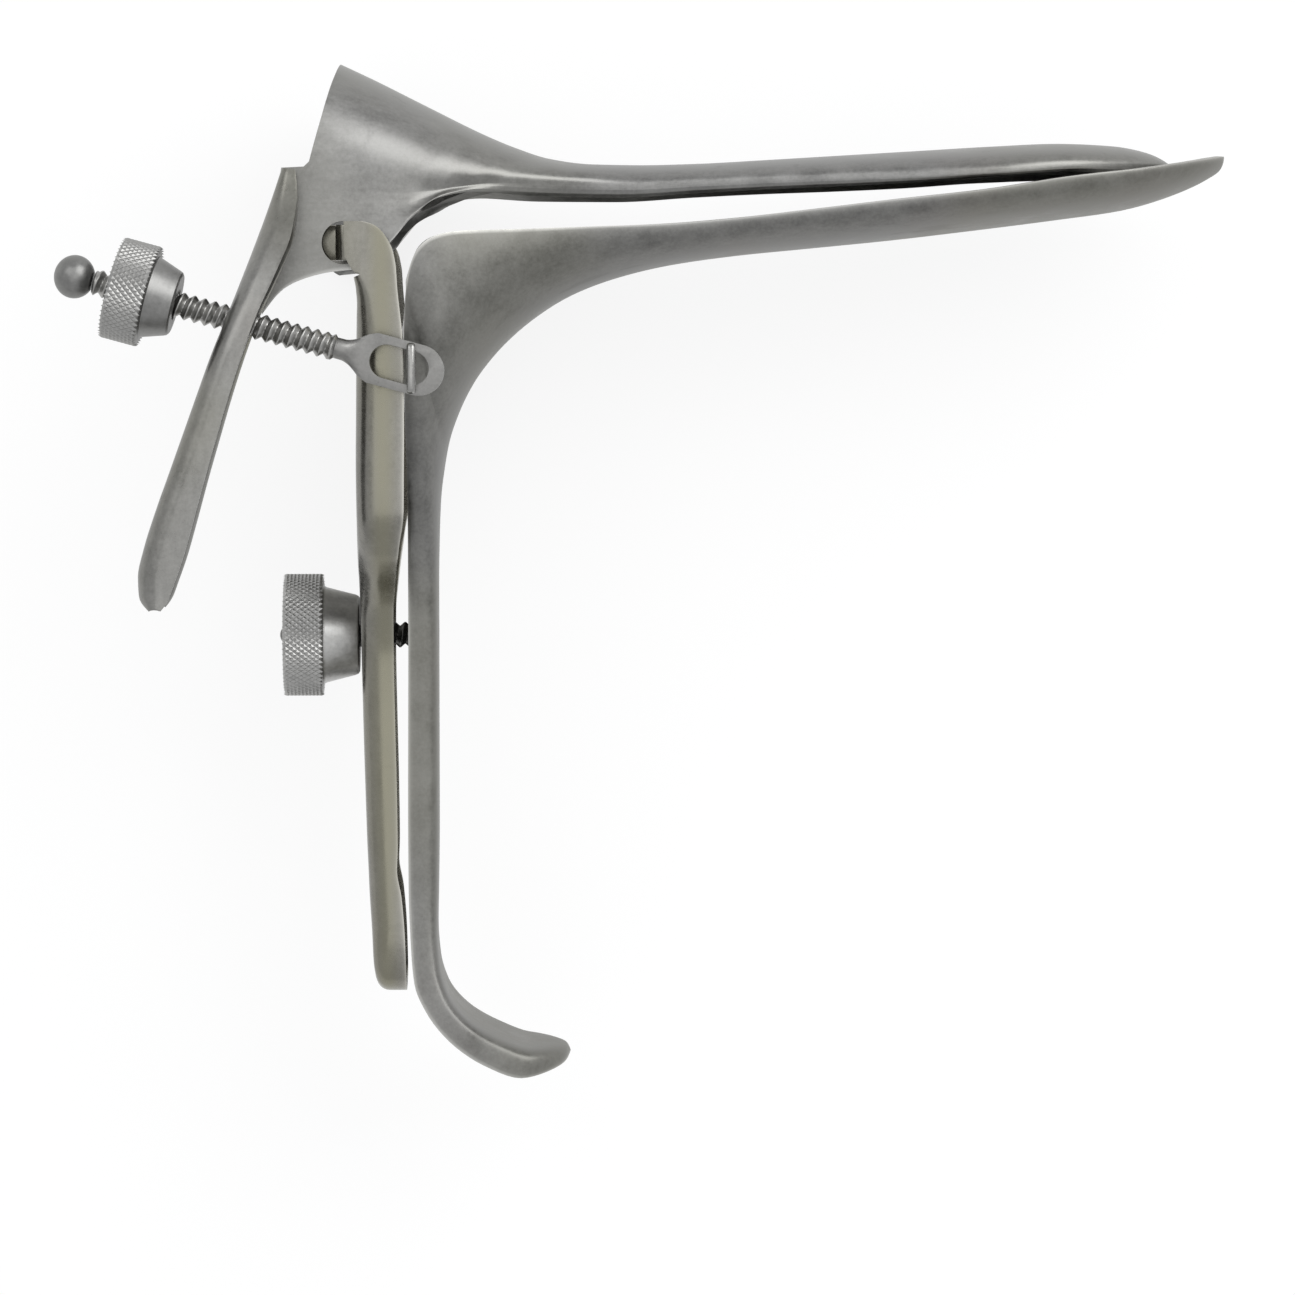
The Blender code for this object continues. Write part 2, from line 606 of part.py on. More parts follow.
def lever_net():
    half = SHEET / 2
    rows = []
    at = np.concatenate([np.arange(0, 11, 1), np.arange(11, 13.1, 0.5)])
    for x0, y0, x1, y1, near in smooth(lever_stations, at):
        wide = math.hypot(x1 - x0, y1 - y0)
        to_x, to_y = (x1 - x0) / wide, (y1 - y0) / wide
        low, high = LEVER_LOW + half, EAR_FACE + near - half
        fold = min(LEVER_FOLD, (wide - half) * 0.6, (high - low) * 0.45)
        section = [(wide, low), (half + fold, low)]
        section += [(half + fold * (1 - math.sin(a)), low + fold * (1 - math.cos(a)))
                    for a in np.radians((35, 90))]
        section += [(half, low + (high - low) * 0.5)]
        section += [(half + fold * (1 - math.sin(a)), high - fold * (1 - math.cos(a)))
                    for a in np.radians((90, 60, 30))]
        section += [(half + fold, high), (half + fold + (wide - half - fold) * 0.5, high), (wide, high)]
        rows.append([(x0 + to_x * out, y0 + to_y * out, z) for out, z in section])
    return np.array(rows)


lever_steel = material("thumb_lever_steel", FRAME_STEEL, 0.28)
thumb_lever = pressed("thumb_lever", lever_net(), HINGE, lever_steel, 0, mirrored=False)
HOLE_ALONG = 22.3
HOLE_HALF, HOLE_R = 1.9, 2.2
lever_hole = prism("lever_hole", long_hole(-HOLE_HALF, HOLE_HALF, 0, HOLE_R), -4, 4, "X", LEVEL)
place(lever_hole, on_rod(HOLE_ALONG), (0, 0, math.radians(-21)))
boolean(thumb_lever, lever_hole)


# Adjusting screw: a coarse thread that ends in a slotted, flattened eye. The origin is
# where the eye turns on the lug.
screw_steel = material("adjusting_screw_steel", NUT_STEEL, 0.34)
NECK_START = 34.6 - ALONG
EYE_FROM = EYE_REACH - EYE_LENGTH - ALONG
EYE_TO = EYE_REACH - ALONG
half_eye = EYE_WIDTH / 2
eye_outline = [(EYE_FROM - 1.4, -1.0), (EYE_FROM + 0.2, -1.5), (EYE_FROM + 1.7, -half_eye + 0.35),
               (EYE_FROM + 3.2, -half_eye)]
eye_outline += [(EYE_TO - half_eye + half_eye * math.cos(a), half_eye * math.sin(a))
                for a in np.radians(np.arange(-90, 91, 18))]
eye_outline += [(x, -y) for x, y in reversed(eye_outline[:4])]
adjusting_screw = prism("adjusting_screw", eye_outline, -EYE_THICK / 2, EYE_THICK / 2, "Z",
                        LEVEL, screw_steel)
place(adjusting_screw, ANCHOR, ROD_TURN)
slot_half = half_eye - EYE_STRAND
eye_hole = long_hole(EYE_FROM + 2.9 + slot_half, EYE_TO - EYE_END - slot_half, 0, slot_half)
eye_slot = prism("eye_slot", eye_hole, -4, 4, "Z", LEVEL)
place(eye_slot, ANCHOR, ROD_TURN)
boolean(adjusting_screw, eye_slot)
rod_neck = turned(
    "rod_neck",
    [(NECK_START - 0.8, 0), (NECK_START - 0.8, 0.8), (NECK_START + 0.4, THREAD_R + 0.06),
     (NECK_START + 1.5, THREAD_R + 0.06), (EYE_FROM + 1.0, 0.75), (EYE_FROM + 1.6, 0.45),
     (EYE_FROM + 1.6, 0)],
    16, ANCHOR, ROD_TURN,
)
boolean(adjusting_screw, rod_neck, "UNION")
rod_thread = threaded("rod_thread", 2.6 - ALONG, NECK_START + 1.2, ANCHOR, ROD_TURN)
boolean(adjusting_screw, rod_thread, "UNION")


# Stop ball: pressed on the rod's free end, so that the nut can't come off.
ball_steel = material("stop_ball_steel", BLADE_STEEL, 0.42)
steps = np.radians(np.linspace(180, 26, 11))
ball_line = [(BALL_SQUASH * BALL_R * math.cos(a), BALL_R * math.sin(a)) for a in steps]
ball_line[0] = (-BALL_SQUASH * BALL_R, 0.0)
ball_line += [(ball_line[-1][0], 0.0)]
stop_ball = turned("stop_ball", ball_line, 24, on_rod(0), ROD_TURN, ball_steel)


# Lever nut: a knurled disc with a tapered boss that bears on the lever.
lever_nut_steel = material("lever_nut_steel", NUT_STEEL, 0.3)
NUT_FROM, NUT_TO, NUT_R = 5.1, 10.0, 6.65
BOSS_TO, BOSS_R0, BOSS_R1 = 13.6, 5.25, 4.3
lever_nut = turned(
    "lever_nut",
    [(NUT_FROM, BORE_R + 0.35), (NUT_FROM, NUT_R - 0.55), (NUT_FROM + 0.55, NUT_R),
     (NUT_TO - 0.55, NUT_R), (NUT_TO, NUT_R - 0.55), (NUT_TO + 0.1, BOSS_R0 + 0.15),
     (NUT_TO + 0.4, BOSS_R0), (BOSS_TO - 0.4, BOSS_R1), (BOSS_TO, BOSS_R1 - 0.4),
     (BOSS_TO, BORE_R + 0.3), (BOSS_TO - 0.3, BORE_R), (NUT_FROM + 0.35, BORE_R)],
    40, on_rod(0), ROD_TURN, lever_nut_steel,
)
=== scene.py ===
import math

import bmesh
import bpy
import numpy as np
from mathutils import Euler, Matrix, Vector


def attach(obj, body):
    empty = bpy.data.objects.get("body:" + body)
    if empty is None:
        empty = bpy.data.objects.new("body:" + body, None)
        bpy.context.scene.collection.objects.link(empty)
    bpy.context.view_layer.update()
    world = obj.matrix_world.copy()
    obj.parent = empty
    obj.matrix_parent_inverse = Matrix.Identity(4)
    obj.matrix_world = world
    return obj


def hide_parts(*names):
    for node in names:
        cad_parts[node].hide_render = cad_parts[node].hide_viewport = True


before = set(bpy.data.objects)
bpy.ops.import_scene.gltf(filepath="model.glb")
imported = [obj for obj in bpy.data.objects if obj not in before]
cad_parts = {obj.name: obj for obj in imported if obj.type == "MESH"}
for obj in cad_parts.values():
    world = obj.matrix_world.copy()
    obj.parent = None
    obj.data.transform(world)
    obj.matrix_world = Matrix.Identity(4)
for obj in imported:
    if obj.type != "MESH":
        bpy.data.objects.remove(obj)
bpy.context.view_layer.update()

# The table, the light and the camera. The instrument lies on its side on a white table,
# under three soft lamps, one overhead, a weak one to the upper left and the main one to the
# upper right, and the camera looks down on it through a long lens.
MM = 0.001
HINGE_AT = Vector((-5.0, 15.0, 23.6))
LOOK_AT = Vector((40.2, -54.1, 0.0))
CAMERA_AWAY = 700.0
CAMERA_BACK = Vector((-0.02967, 0.06105, 0.99769))
IMAGE_ACROSS = 174.8
SENSOR = 36.0
TABLE_HALF, TABLE_AT, TABLE_WHITE = 3.0, -0.0003, 0.84
LAMPS_POINT_AT = Vector((0.04, -0.03, 0.02))


def spot(x, y, z):
    """A point of the drawing (millimetres from the blade hinge) in the row frame."""
    return Vector((x + HINGE_AT.x, y + HINGE_AT.y, z + HINGE_AT.z)) * MM


scene = bpy.context.scene
scene.view_settings.view_transform = "Standard"
back = CAMERA_BACK.normalized()
right = Vector((0, 1, 0)).cross(back).normalized()
up = back.cross(right)
lens = bpy.data.cameras.new("camera")
lens.sensor_width = SENSOR
lens.lens = SENSOR * CAMERA_AWAY / IMAGE_ACROSS
lens.clip_end = 20
camera = bpy.data.objects.new("camera", lens)
camera.matrix_world = Matrix.Translation(spot(*(LOOK_AT + back * CAMERA_AWAY))) @ Matrix(
    (right, up, back)).transposed().to_4x4()
scene.collection.objects.link(camera)
scene.camera = camera


class Value:
    """One output of a material's nodes. Sums on it add Math nodes to the material."""

    def __init__(self, finish, socket):
        self.finish, self.socket = finish, socket

    def math(self, operation, first, second):
        """A Math node on two values or numbers."""
        return self.finish.node("ShaderNodeMath", {"operation": operation}, {0: first, 1: second})

    def __add__(self, other):
        return self.math("ADD", self, other)

    __radd__ = __add__

    def __sub__(self, other):
        return self.math("SUBTRACT", self, other)

    def __rsub__(self, other):
        return self.math("SUBTRACT", other, self)

    def __mul__(self, other):
        return self.math("MULTIPLY", self, other)

    __rmul__ = __mul__

    def lift(self, low, high):
        """0 below low, 1 above high, and a smooth rise between them."""
        return self.finish.node("ShaderNodeMapRange", {"interpolation_type": "SMOOTHSTEP"},
                                {"Value": self, "From Min": low, "From Max": high})


class Finish:
    """A material under construction."""

    def __init__(self, name):
        self.material = bpy.data.materials.new(name)
        self.material.use_nodes = True
        self.tree = self.material.node_tree
        self.tree.nodes.clear()

    def node(self, kind, settings, values, out=0):
        """A node of any kind, with its settings, then its sockets' values or links."""
        made = self.tree.nodes.new(kind)
        for setting, value in settings.items():
            setattr(made, setting, value)
        for socket, value in values.items():
            if isinstance(value, Value):
                self.tree.links.new(value.socket, made.inputs[socket])
            else:
                made.inputs[socket].default_value = value
        return Value(self, made.outputs[out])

    def mix(self, share, first, second):
        """A colour between two colours. Sockets 6, 7 and 2 are a Mix node's colours."""
        first, second = (c if isinstance(c, Value) else (*c, 1) for c in (first, second))
        return self.node("ShaderNodeMix", {"data_type": "RGBA"}, {0: share, 6: first, 7: second}, out=2)

    def show(self, shader):
        """Ends the material with its shader."""
        surface_output = self.tree.nodes.new("ShaderNodeOutputMaterial")
        self.tree.links.new(shader.socket, surface_output.inputs["Surface"])
        return self.material


table_top = Finish("white_table")
ray = {name: table_top.node("ShaderNodeLightPath", {}, {}, out=name)
       for name in ("Is Camera Ray", "Is Glossy Ray", "Is Transmission Ray")}
seen = table_top.node("ShaderNodeMath", {"operation": "ADD", "use_clamp": True},
                      {0: ray["Is Camera Ray"], 1: ray["Is Glossy Ray"] + ray["Is Transmission Ray"]})
lit_table = table_top.node("ShaderNodeBsdfDiffuse", {}, {"Color": (0.90, 0.90, 0.90, 1)})
pure_white = table_top.node("ShaderNodeEmission", {}, {"Color": (1, 1, 1, 1), "Strength": 1.0})
table_shader = table_top.node("ShaderNodeMixShader", {},
                              {0: seen * TABLE_WHITE, 1: lit_table, 2: pure_white})
table_mesh = bpy.data.meshes.new("table")
table_mesh.from_pydata([(x * TABLE_HALF, y * TABLE_HALF, TABLE_AT)
                        for x, y in ((-1, -1), (1, -1), (1, 1), (-1, 1))], [], [(0, 1, 2, 3)])
table = bpy.data.objects.new("table", table_mesh)
table_mesh.materials.append(table_top.show(table_shader))
scene.collection.objects.link(table)

world = bpy.data.worlds.new("room")
world.use_nodes = True
world.node_tree.nodes["Background"].inputs["Color"].default_value = (0.985, 0.99, 1.0, 1)
world.node_tree.nodes["Background"].inputs["Strength"].default_value = 0.80
scene.world = world


def softbox(name, at, size, power):
    """A large soft lamp that points at the instrument's middle."""
    light = bpy.data.lights.new(name, "AREA")
    light.shape = "RECTANGLE"
    light.size, light.size_y = size
    light.energy = power
    lamp = bpy.data.objects.new(name, light)
    lamp.location = at
    lamp.rotation_euler = (Vector(at) - LAMPS_POINT_AT).to_track_quat("Z", "Y").to_euler()
    scene.collection.objects.link(lamp)


softbox("softbox_overhead", (0.05, 0.05, 1.10), (0.8, 0.8), 1.3)
softbox("softbox_upper_left", (-0.45, 0.50, 0.72), (0.55, 0.55), 1.3)
softbox("softbox_upper_right", (0.55, 0.52, 0.64), (0.75, 0.75), 5.2)


# Lower blade: one pressed sheet of satin stainless steel. A gutter open upwards makes the
# blade, turns down through the deep throat, closes to a narrow channel down the handle and
# opens again into the hook. Its edges are rounded off and its skin is bead-blasted.
SHEET = 1.2
THREAD_R = 1.74
STUD_Y, SHANK_R = -52.3, THREAD_R + 0.08
RIM_WIDTH, RIM_HIGHLIGHT_FADE = 0.55, 0.22
SAME_POINT = 2e-6
LENGTH_SHARE, BEND_SHARE = 0.7, 0.3
GRAIN_STRENGTH, GRAIN_DEPTH = 0.22, 0.00006


def ramp(value, start, over):
    """0 before start, 1 a distance over past it, and a straight rise between them. A negative
    distance runs the other way."""
    return min(1, max(0, (value - start) / over))


def smooth(rows, count):
    """A table of a few rows drawn out to many, on curves that never overshoot."""
    rows = np.asarray(rows, float)
    slope = np.diff(rows, axis=0)
    bend = np.zeros_like(rows)
    before, after = slope[:-1], slope[1:]
    same = before * after > 0
    total = np.where(same, before + after, 1.0)
    bend[1:-1] = np.where(same, 2 * before * after / total, 0.0)
    bend[0] = slope[0] * 1.5 - bend[1] * 0.5
    bend[-1] = slope[-1] * 1.5 - bend[-2] * 0.5
    at = np.linspace(0, len(rows) - 1, count)
    low = np.clip(at.astype(int), 0, len(rows) - 2)
    t = (at - low)[:, None]
    rise = slope[low]
    return (rows[low] + bend[low] * t + (3 * rise - 2 * bend[low] - bend[low + 1]) * t**2
            + (bend[low] + bend[low + 1] - 2 * rise) * t**3)


def gutter(width, depth, square, count):
    """Half of a gutter's section from crown to rim, as fractions of depth and of width. Its
    points lie closer together where it bends."""
    angle = np.linspace(0, math.pi / 2, 400)
    down = 1 - np.maximum(np.cos(angle), 0) ** (2 / square)
    out = np.sin(angle) ** (2 / square)
    step_down, step_out = np.diff(down) * depth, np.diff(out) * width
    step = np.hypot(step_down, step_out)
    turn = np.abs(np.diff(np.arctan2(step_down, step_out), prepend=0))
    travel = np.cumsum(LENGTH_SHARE * step / step.sum() + BEND_SHARE * turn / turn.sum())
    travel = np.concatenate([[0], travel / travel[-1]])
    at = np.interp(np.linspace(0, 1, count), travel, angle)
    return 1 - np.maximum(np.cos(at), 0) ** (2 / square), np.sin(at) ** (2 / square)


def surface(name, grid, around=False, place=None):
    """An object from a grid of drawing points, closed around its second direction on request."""
    grid = np.asarray(grid, float)
    there = ~np.isnan(grid).any(axis=2)
    number = np.cumsum(there.ravel()).reshape(there.shape) - 1
    faces = []
    columns = grid.shape[1]
    for i in range(grid.shape[0] - 1):
        for j in range(columns if around else columns - 1):
            k = (j + 1) % columns
            if there[i, j] and there[i, k] and there[i + 1, j] and there[i + 1, k]:
                faces.append([int(number[i, j]), int(number[i, k]),
                              int(number[i + 1, k]), int(number[i + 1, j])])
    mesh = bpy.data.meshes.new(name)
    if place is None:
        points = [spot(*p) for p in grid[there]]
    else:
        points = [place @ (Vector(p) * MM) for p in grid[there]]
    mesh.from_pydata(points, [], faces)
    shape = bmesh.new()
    shape.from_mesh(mesh)
    bmesh.ops.remove_doubles(shape, verts=shape.verts, dist=SAME_POINT)
    if around:
        bmesh.ops.recalc_face_normals(shape, faces=shape.faces)
    shape.to_mesh(mesh)
    shape.free()
    made = bpy.data.objects.new(name, mesh)
    scene.collection.objects.link(made)
    return made


def near_rim(row):
    """A row of a net with one more point, just inside its rim."""
    (x0, y0, z0), (x1, y1, z1) = row[-1], row[-2]
    share = min(0.5, RIM_WIDTH / (math.dist(row[-1], row[-2]) + 1e-6))
    inside = (x0 + (x1 - x0) * share, y0 + (y1 - y0) * share, z0 + (z1 - z0) * share)
    return row[:-1] + [inside, row[-1]]


def hundredths(place):
    """A place in hundredths of a millimetre, by which a mesh finds its net's points again."""
    return tuple(round(c * 1e5) for c in place)


def mark_rim(made, grid, column=-1, thin_below=None):
    """Marks a net's rim, along which the material paints a highlight. On request it thins the sheet
    towards its rounded tips, down to about a third."""
    marks, shares = {}, {}
    for row in grid:
        if math.isnan(row[column][0]):
            continue
        last = spot(*row[column])
        share = min(1.0, 0.35 + 0.65 * abs(row[column][2]) / thin_below) if thin_below else 1
        for point in row:
            if not math.isnan(point[0]):
                here = spot(*point)
                at = hundredths(here)
                marks[at] = max(marks.get(at, 0), math.exp(-(here - last).length / (RIM_HIGHLIGHT_FADE * MM)))
                shares[at] = min(shares.get(at, 1), share)
    places = [hundredths(vertex.co) for vertex in made.data.vertices]
    thickness = made.vertex_groups.new(name="thickness")
    for number, at in enumerate(places):
        thickness.add([number], shares.get(at, 1), "REPLACE")
    rim = made.data.attributes.new("rim", "FLOAT", "POINT")
    rim.data.foreach_set("value", [marks.get(at, 0) for at in places])


def sheet_metal(made, offset, mirrored=True, rounding=0.34):
    """Gives a net its other half, its thickness and its rounded edges."""
    if mirrored:
        middle = bpy.data.objects.new(made.name + "_middle", None)
        middle.location = spot(0, 0, 0)
        scene.collection.objects.link(middle)
        mirror = made.modifiers.new("Mirror", "MIRROR")
        mirror.use_axis = (False, False, True)
        mirror.mirror_object = middle
        mirror.merge_threshold = 0.00001
    shell = made.modifiers.new("Sheet", "SOLIDIFY")
    shell.thickness = SHEET * MM
    shell.offset = offset
    shell.use_even_offset = True
    if "thickness" in made.vertex_groups:
        shell.vertex_group = "thickness"
    settle(made)
    soften(made, rounding)
    settle(made)
    if mirrored:
        bpy.data.objects.remove(middle)


def soften(made, width, segments=3, angle=50):
    """Rounds the edges that are sharper than the angle."""
    edge = made.modifiers.new("Edge", "BEVEL")
    edge.width = width * MM
    edge.segments = segments
    edge.limit_method = "ANGLE"
    edge.angle_limit = math.radians(angle)


def settle(made):
    """Turns what the modifiers make into the object's own plain mesh."""
    depsgraph = bpy.context.evaluated_depsgraph_get()
    mesh = bpy.data.meshes.new_from_object(made.evaluated_get(depsgraph))
    made.modifiers.clear()
    made.data = mesh


def prism(name, outline, low, high, axis, place=None):
    """A closed outline on the two axes across the given one, carried from low to high."""
    loops = [[{"X": (level, a, b), "Y": (a, level, b), "Z": (a, b, level)}[axis] for a, b in outline]
             for level in (low, high)]
    made = surface(name, loops, around=True, place=place)
    shape = bmesh.new()
    shape.from_mesh(made.data)
    bmesh.ops.holes_fill(shape, edges=shape.edges, sides=len(outline))
    bmesh.ops.recalc_face_normals(shape, faces=shape.faces)
    shape.to_mesh(made.data)
    shape.free()
    return made


def join(made, other, operation="DIFFERENCE"):
    """Cuts another shape out of a piece, or unites the two."""
    cut = made.modifiers.new("Join", "BOOLEAN")
    cut.operation = operation
    cut.solver = "EXACT"
    cut.object = other
    settle(made)
    bpy.data.objects.remove(other)


def circle(radius, sides, centre=(0, 0)):
    """A round outline."""
    turns = np.linspace(0, 2 * math.pi, sides, endpoint=False)
    return [(centre[0] + radius * math.cos(a), centre[1] + radius * math.sin(a)) for a in turns]


def hand_over(made, node, body, finish, sharp=38):
    """The finished piece takes its material, its node's place and its body."""
    made.data.materials.clear()
    made.data.materials.append(finish)
    made.data.polygons.foreach_set("material_index", [0] * len(made.data.polygons))
    made.data.polygons.foreach_set("use_smooth", [True] * len(made.data.polygons))
    made.data.set_sharp_from_angle(angle=math.radians(sharp))
    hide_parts(node)
    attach(made, body)


def steel(name, colour, roughness, streak=(1, 1, 1), mottle=1.0, tint=0.0, lines=0.0, centre=None,
          turn=(0, 0, 0), blast=0.5, rim=0.0, knurl_to=None, knurl_share=1.0, band=None):
    """Stainless steel. Mottle is how uneven it is, tint how straw-coloured, blast how grainy,
    streak how its brushing stretches along each axis, lines how strongly it was turned and rim
    how strong the painted highlight along its rim is. Up to knurl_to along X the colour is
    knurl_share times as strong. Band is the middle and half width, along X, of a stripe that heat has
    tinted."""
    skin = Finish(name)
    where = skin.node("ShaderNodeTexCoord", {}, {}, out="Object")
    if centre is not None:
        where = skin.node("ShaderNodeMapping", {"vector_type": "TEXTURE"},
                          {"Vector": where, "Location": centre, "Rotation": turn})

    def toned(red, green=None, blue=None):
        """The steel's colour times one factor, or times one for each channel."""
        return tuple(min(1, c * f) for c, f in zip(colour, (red, green or red, blue or red)))

    def noise(scale, detail, stretch=(1, 1, 1), rough=0.5):
        stretched = skin.node("ShaderNodeMapping", {}, {"Vector": where, "Scale": stretch})
        return skin.node("ShaderNodeTexNoise", {}, {"Vector": stretched, "Scale": scale,
                                                    "Detail": detail, "Roughness": rough})

    cloud = noise(60, 3)
    blotch = noise(240, 3)
    speck = noise(1900, 2, rough=0.7)
    brush = noise(900, 3, streak, 0.6)
    scuff = noise(260, 4, (streak[1], streak[0], streak[2]), 0.7).lift(0.60, 0.68)
    uneven = ((cloud - 0.5) * 0.30 + (blotch - 0.5) * 0.45
              + (brush - 0.5) * 0.45 + (speck - 0.5) * 0.50) * mottle
    shade = skin.mix(0.5 + uneven, toned(0.62), toned(1.38))
    if knurl_to is not None:
        along = skin.node("ShaderNodeSeparateXYZ", {}, {0: where}, out="X")
        knurl_shade = skin.mix(0.5 + uneven, colour, toned(knurl_share))
        shade = skin.mix(along.lift(knurl_to - 0.0001, knurl_to + 0.0001), knurl_shade, shade)
    if rim:
        # Painted highlight: near the marked rim the colour is lifted up to 3.2 times.
        rim_highlight = skin.node("ShaderNodeAttribute", {"attribute_name": "rim"}, {}, out="Fac")
        shade = skin.mix(rim_highlight * rim, shade, toned(3.2))
    if tint:
        straw = noise(22, 2).lift(0.42, 0.60) * tint
        rose = noise(35, 2, (1.3, 0.8, 1)).lift(0.56, 0.68) * (0.5 * tint)
        shade = skin.mix(straw, shade, toned(1.04, 1.02, 0.80))
        shade = skin.mix(rose, shade, toned(1.06, 0.95, 0.90))
    if band:
        middle, half_width = band
        along = skin.node("ShaderNodeSeparateXYZ", {}, {0: where}, out="X")
        away = skin.node("ShaderNodeMath", {"operation": "ABSOLUTE"}, {0: along - middle})
        shade = skin.mix((1 - away.lift(0, half_width)) * 0.8, shade, toned(1.07, 1.05, 0.86))
    rough = roughness + uneven * 0.25 + scuff * 0.06
    height = speck * blast + brush * 0.5
    if lines:
        ring = noise(1, 2, (5200, 30, 30), 0.7)
        height = height + ring * lines
        rough = rough + (ring - 0.5) * 0.10
    bump = skin.node("ShaderNodeBump", {},
                     {"Height": height, "Strength": GRAIN_STRENGTH, "Distance": GRAIN_DEPTH})
    shader = skin.node("ShaderNodeBsdfPrincipled", {}, {
        "Base Color": shade, "Metallic": 1.0, "Roughness": rough, "Normal": bump})
    return skin.show(shader)


# Along the blade: crown x y, rim x y, half width and how square the section is.
LOWER_LINE = [
    (117.8, 11.5, 117.8, 11.5, 0.0, 2.0), (117.2, 10.1, 117.3, 11.85, 3.8, 2.0),
    (115.0, 8.6, 115.2, 11.45, 8.2, 2.1), (110.5, 6.6, 110.5, 10.7, 12.8, 2.2),
    (104.0, 4.7, 104.0, 9.8, 16.2, 2.3), (95.0, 3.4, 95.0, 8.8, 17.9, 2.4),
    (84.0, 2.0, 84.0, 7.1, 17.8, 2.4), (73.0, 0.7, 73.0, 5.9, 16.9, 2.4),
    (62.0, -0.4, 62.0, 4.6, 15.6, 2.4), (52.0, -1.4, 51.5, 3.4, 14.4, 2.4),
    (43.0, -2.7, 41.5, 2.6, 13.9, 2.4), (36.0, -4.4, 33.0, 2.3, 14.3, 2.4),
    (30.0, -6.7, 25.6, 2.0, 15.4, 2.5), (24.6, -10.1, 19.4, 1.8, 17.0, 2.6),
    (20.2, -14.1, 14.8, 1.6, 18.6, 2.7), (16.9, -18.4, 11.5, 0.8, 19.8, 2.8),
    (14.9, -22.4, 9.3, -1.3, 20.3, 2.9), (13.6, -26.2, 8.2, -5.0, 20.3, 3.0),
    (12.9, -30.0, 7.8, -11.5, 19.4, 3.4), (12.4, -34.2, 7.8, -20.5, 16.9, 4.0),
    (12.2, -39.2, 8.0, -30.0, 13.2, 4.8), (12.1, -45.5, 8.1, -39.5, 10.3, 5.6),
    (12.1, -54.0, 8.1, -50.0, 9.2, 6.2), (12.1, -65.0, 8.05, -63.0, 9.0, 6.4),
    (12.1, -77.0, 8.0, -76.0, 9.0, 6.4), (12.0, -86.0, 8.05, -86.0, 9.1, 6.6),
    (11.9, -91.6, 8.3, -93.0, 9.5, 7.2), (12.2, -96.1, 8.8, -98.4, 10.2, 8.0),
    (13.3, -100.0, 10.3, -102.0, 11.0, 8.6), (15.9, -103.3, 13.4, -105.9, 11.7, 9.0),
    (20.0, -105.8, 18.0, -109.1, 12.1, 8.6), (24.3, -107.3, 23.0, -110.9, 11.6, 7.0),
    (27.4, -107.5, 27.0, -110.2, 8.9, 4.4), (29.2, -107.8, 29.1, -109.4, 4.9, 2.8),
    (29.8, -108.7, 29.8, -108.7, 0.0, 2.0),
]
# The flanks narrow down the throat at one height from back to front. That fades out with the
# rim's place: upwards, forwards and down the handle.
FLANK_Y = (-86, -50.0, -39.5, -30.0, -20.5, -11.5, -5.0)
FLANK_HALF = (9.1, 9.2, 10.3, 13.2, 16.9, 19.4, 20.3)
FADE_UP, FADE_FORWARD, FADE_DOWN = (0.9, -8), (12.6, -2), (-92, 6)
LOWER_ROWS, LOWER_COLUMNS = 171, 24
THIN_BELOW = 9.0
lower_net = []
for x0, y0, x1, y1, width, square in smooth(LOWER_LINE, LOWER_ROWS):
    down, out = gutter(width, math.hypot(x1 - x0, y1 - y0) + 1e-6, square, LOWER_COLUMNS)
    row = []
    for d, o in zip(down, out):
        x, y = x0 + (x1 - x0) * d, y0 + (y1 - y0) * d
        share = ramp(y1, *FADE_UP) * ramp(x1, *FADE_FORWARD) * ramp(y1, *FADE_DOWN)
        flank = width - share * max(0, width - np.interp(y, FLANK_Y, FLANK_HALF))
        row.append((x, y, flank * o))
    lower_net.append(near_rim(row))
lower_blade = surface("lower_blade_sheet", lower_net)
mark_rim(lower_blade, lower_net, thin_below=THIN_BELOW)
sheet_metal(lower_blade, -1)
join(lower_blade, prism("stud_hole", circle(SHANK_R + 0.3, 40, (STUD_Y, 0)), 5, 20, "X"))
hand_over(lower_blade, "lower_blade", "handle",
          steel("blasted_steel_lower", (0.180, 0.179, 0.172), 0.46, (0.35, 0.35, 1), mottle=1.7,
                tint=0.25, rim=0.75))


# Upper blade: one pressed sheet of the same steel. The arched blade flares open at its
# mouth, and the sides of the mouth run down into flat ears, which hang on the hinge.
HALF_MOUTH = 22.0
WELD, LARGEST_CRACK = 0.004, 12


def close_seams(made):
    """Welds the hair cracks that cutting and rounding leave, and closes what is still open."""
    shape = bmesh.new()
    shape.from_mesh(made.data)
    bmesh.ops.remove_doubles(shape, verts=shape.verts, dist=WELD * MM)
    bmesh.ops.dissolve_degenerate(shape, edges=shape.edges, dist=WELD * MM)
    cracks = [edge for edge in shape.edges if edge.is_boundary]
    bmesh.ops.holes_fill(shape, edges=cracks, sides=LARGEST_CRACK)
    shape.to_mesh(made.data)
    shape.free()


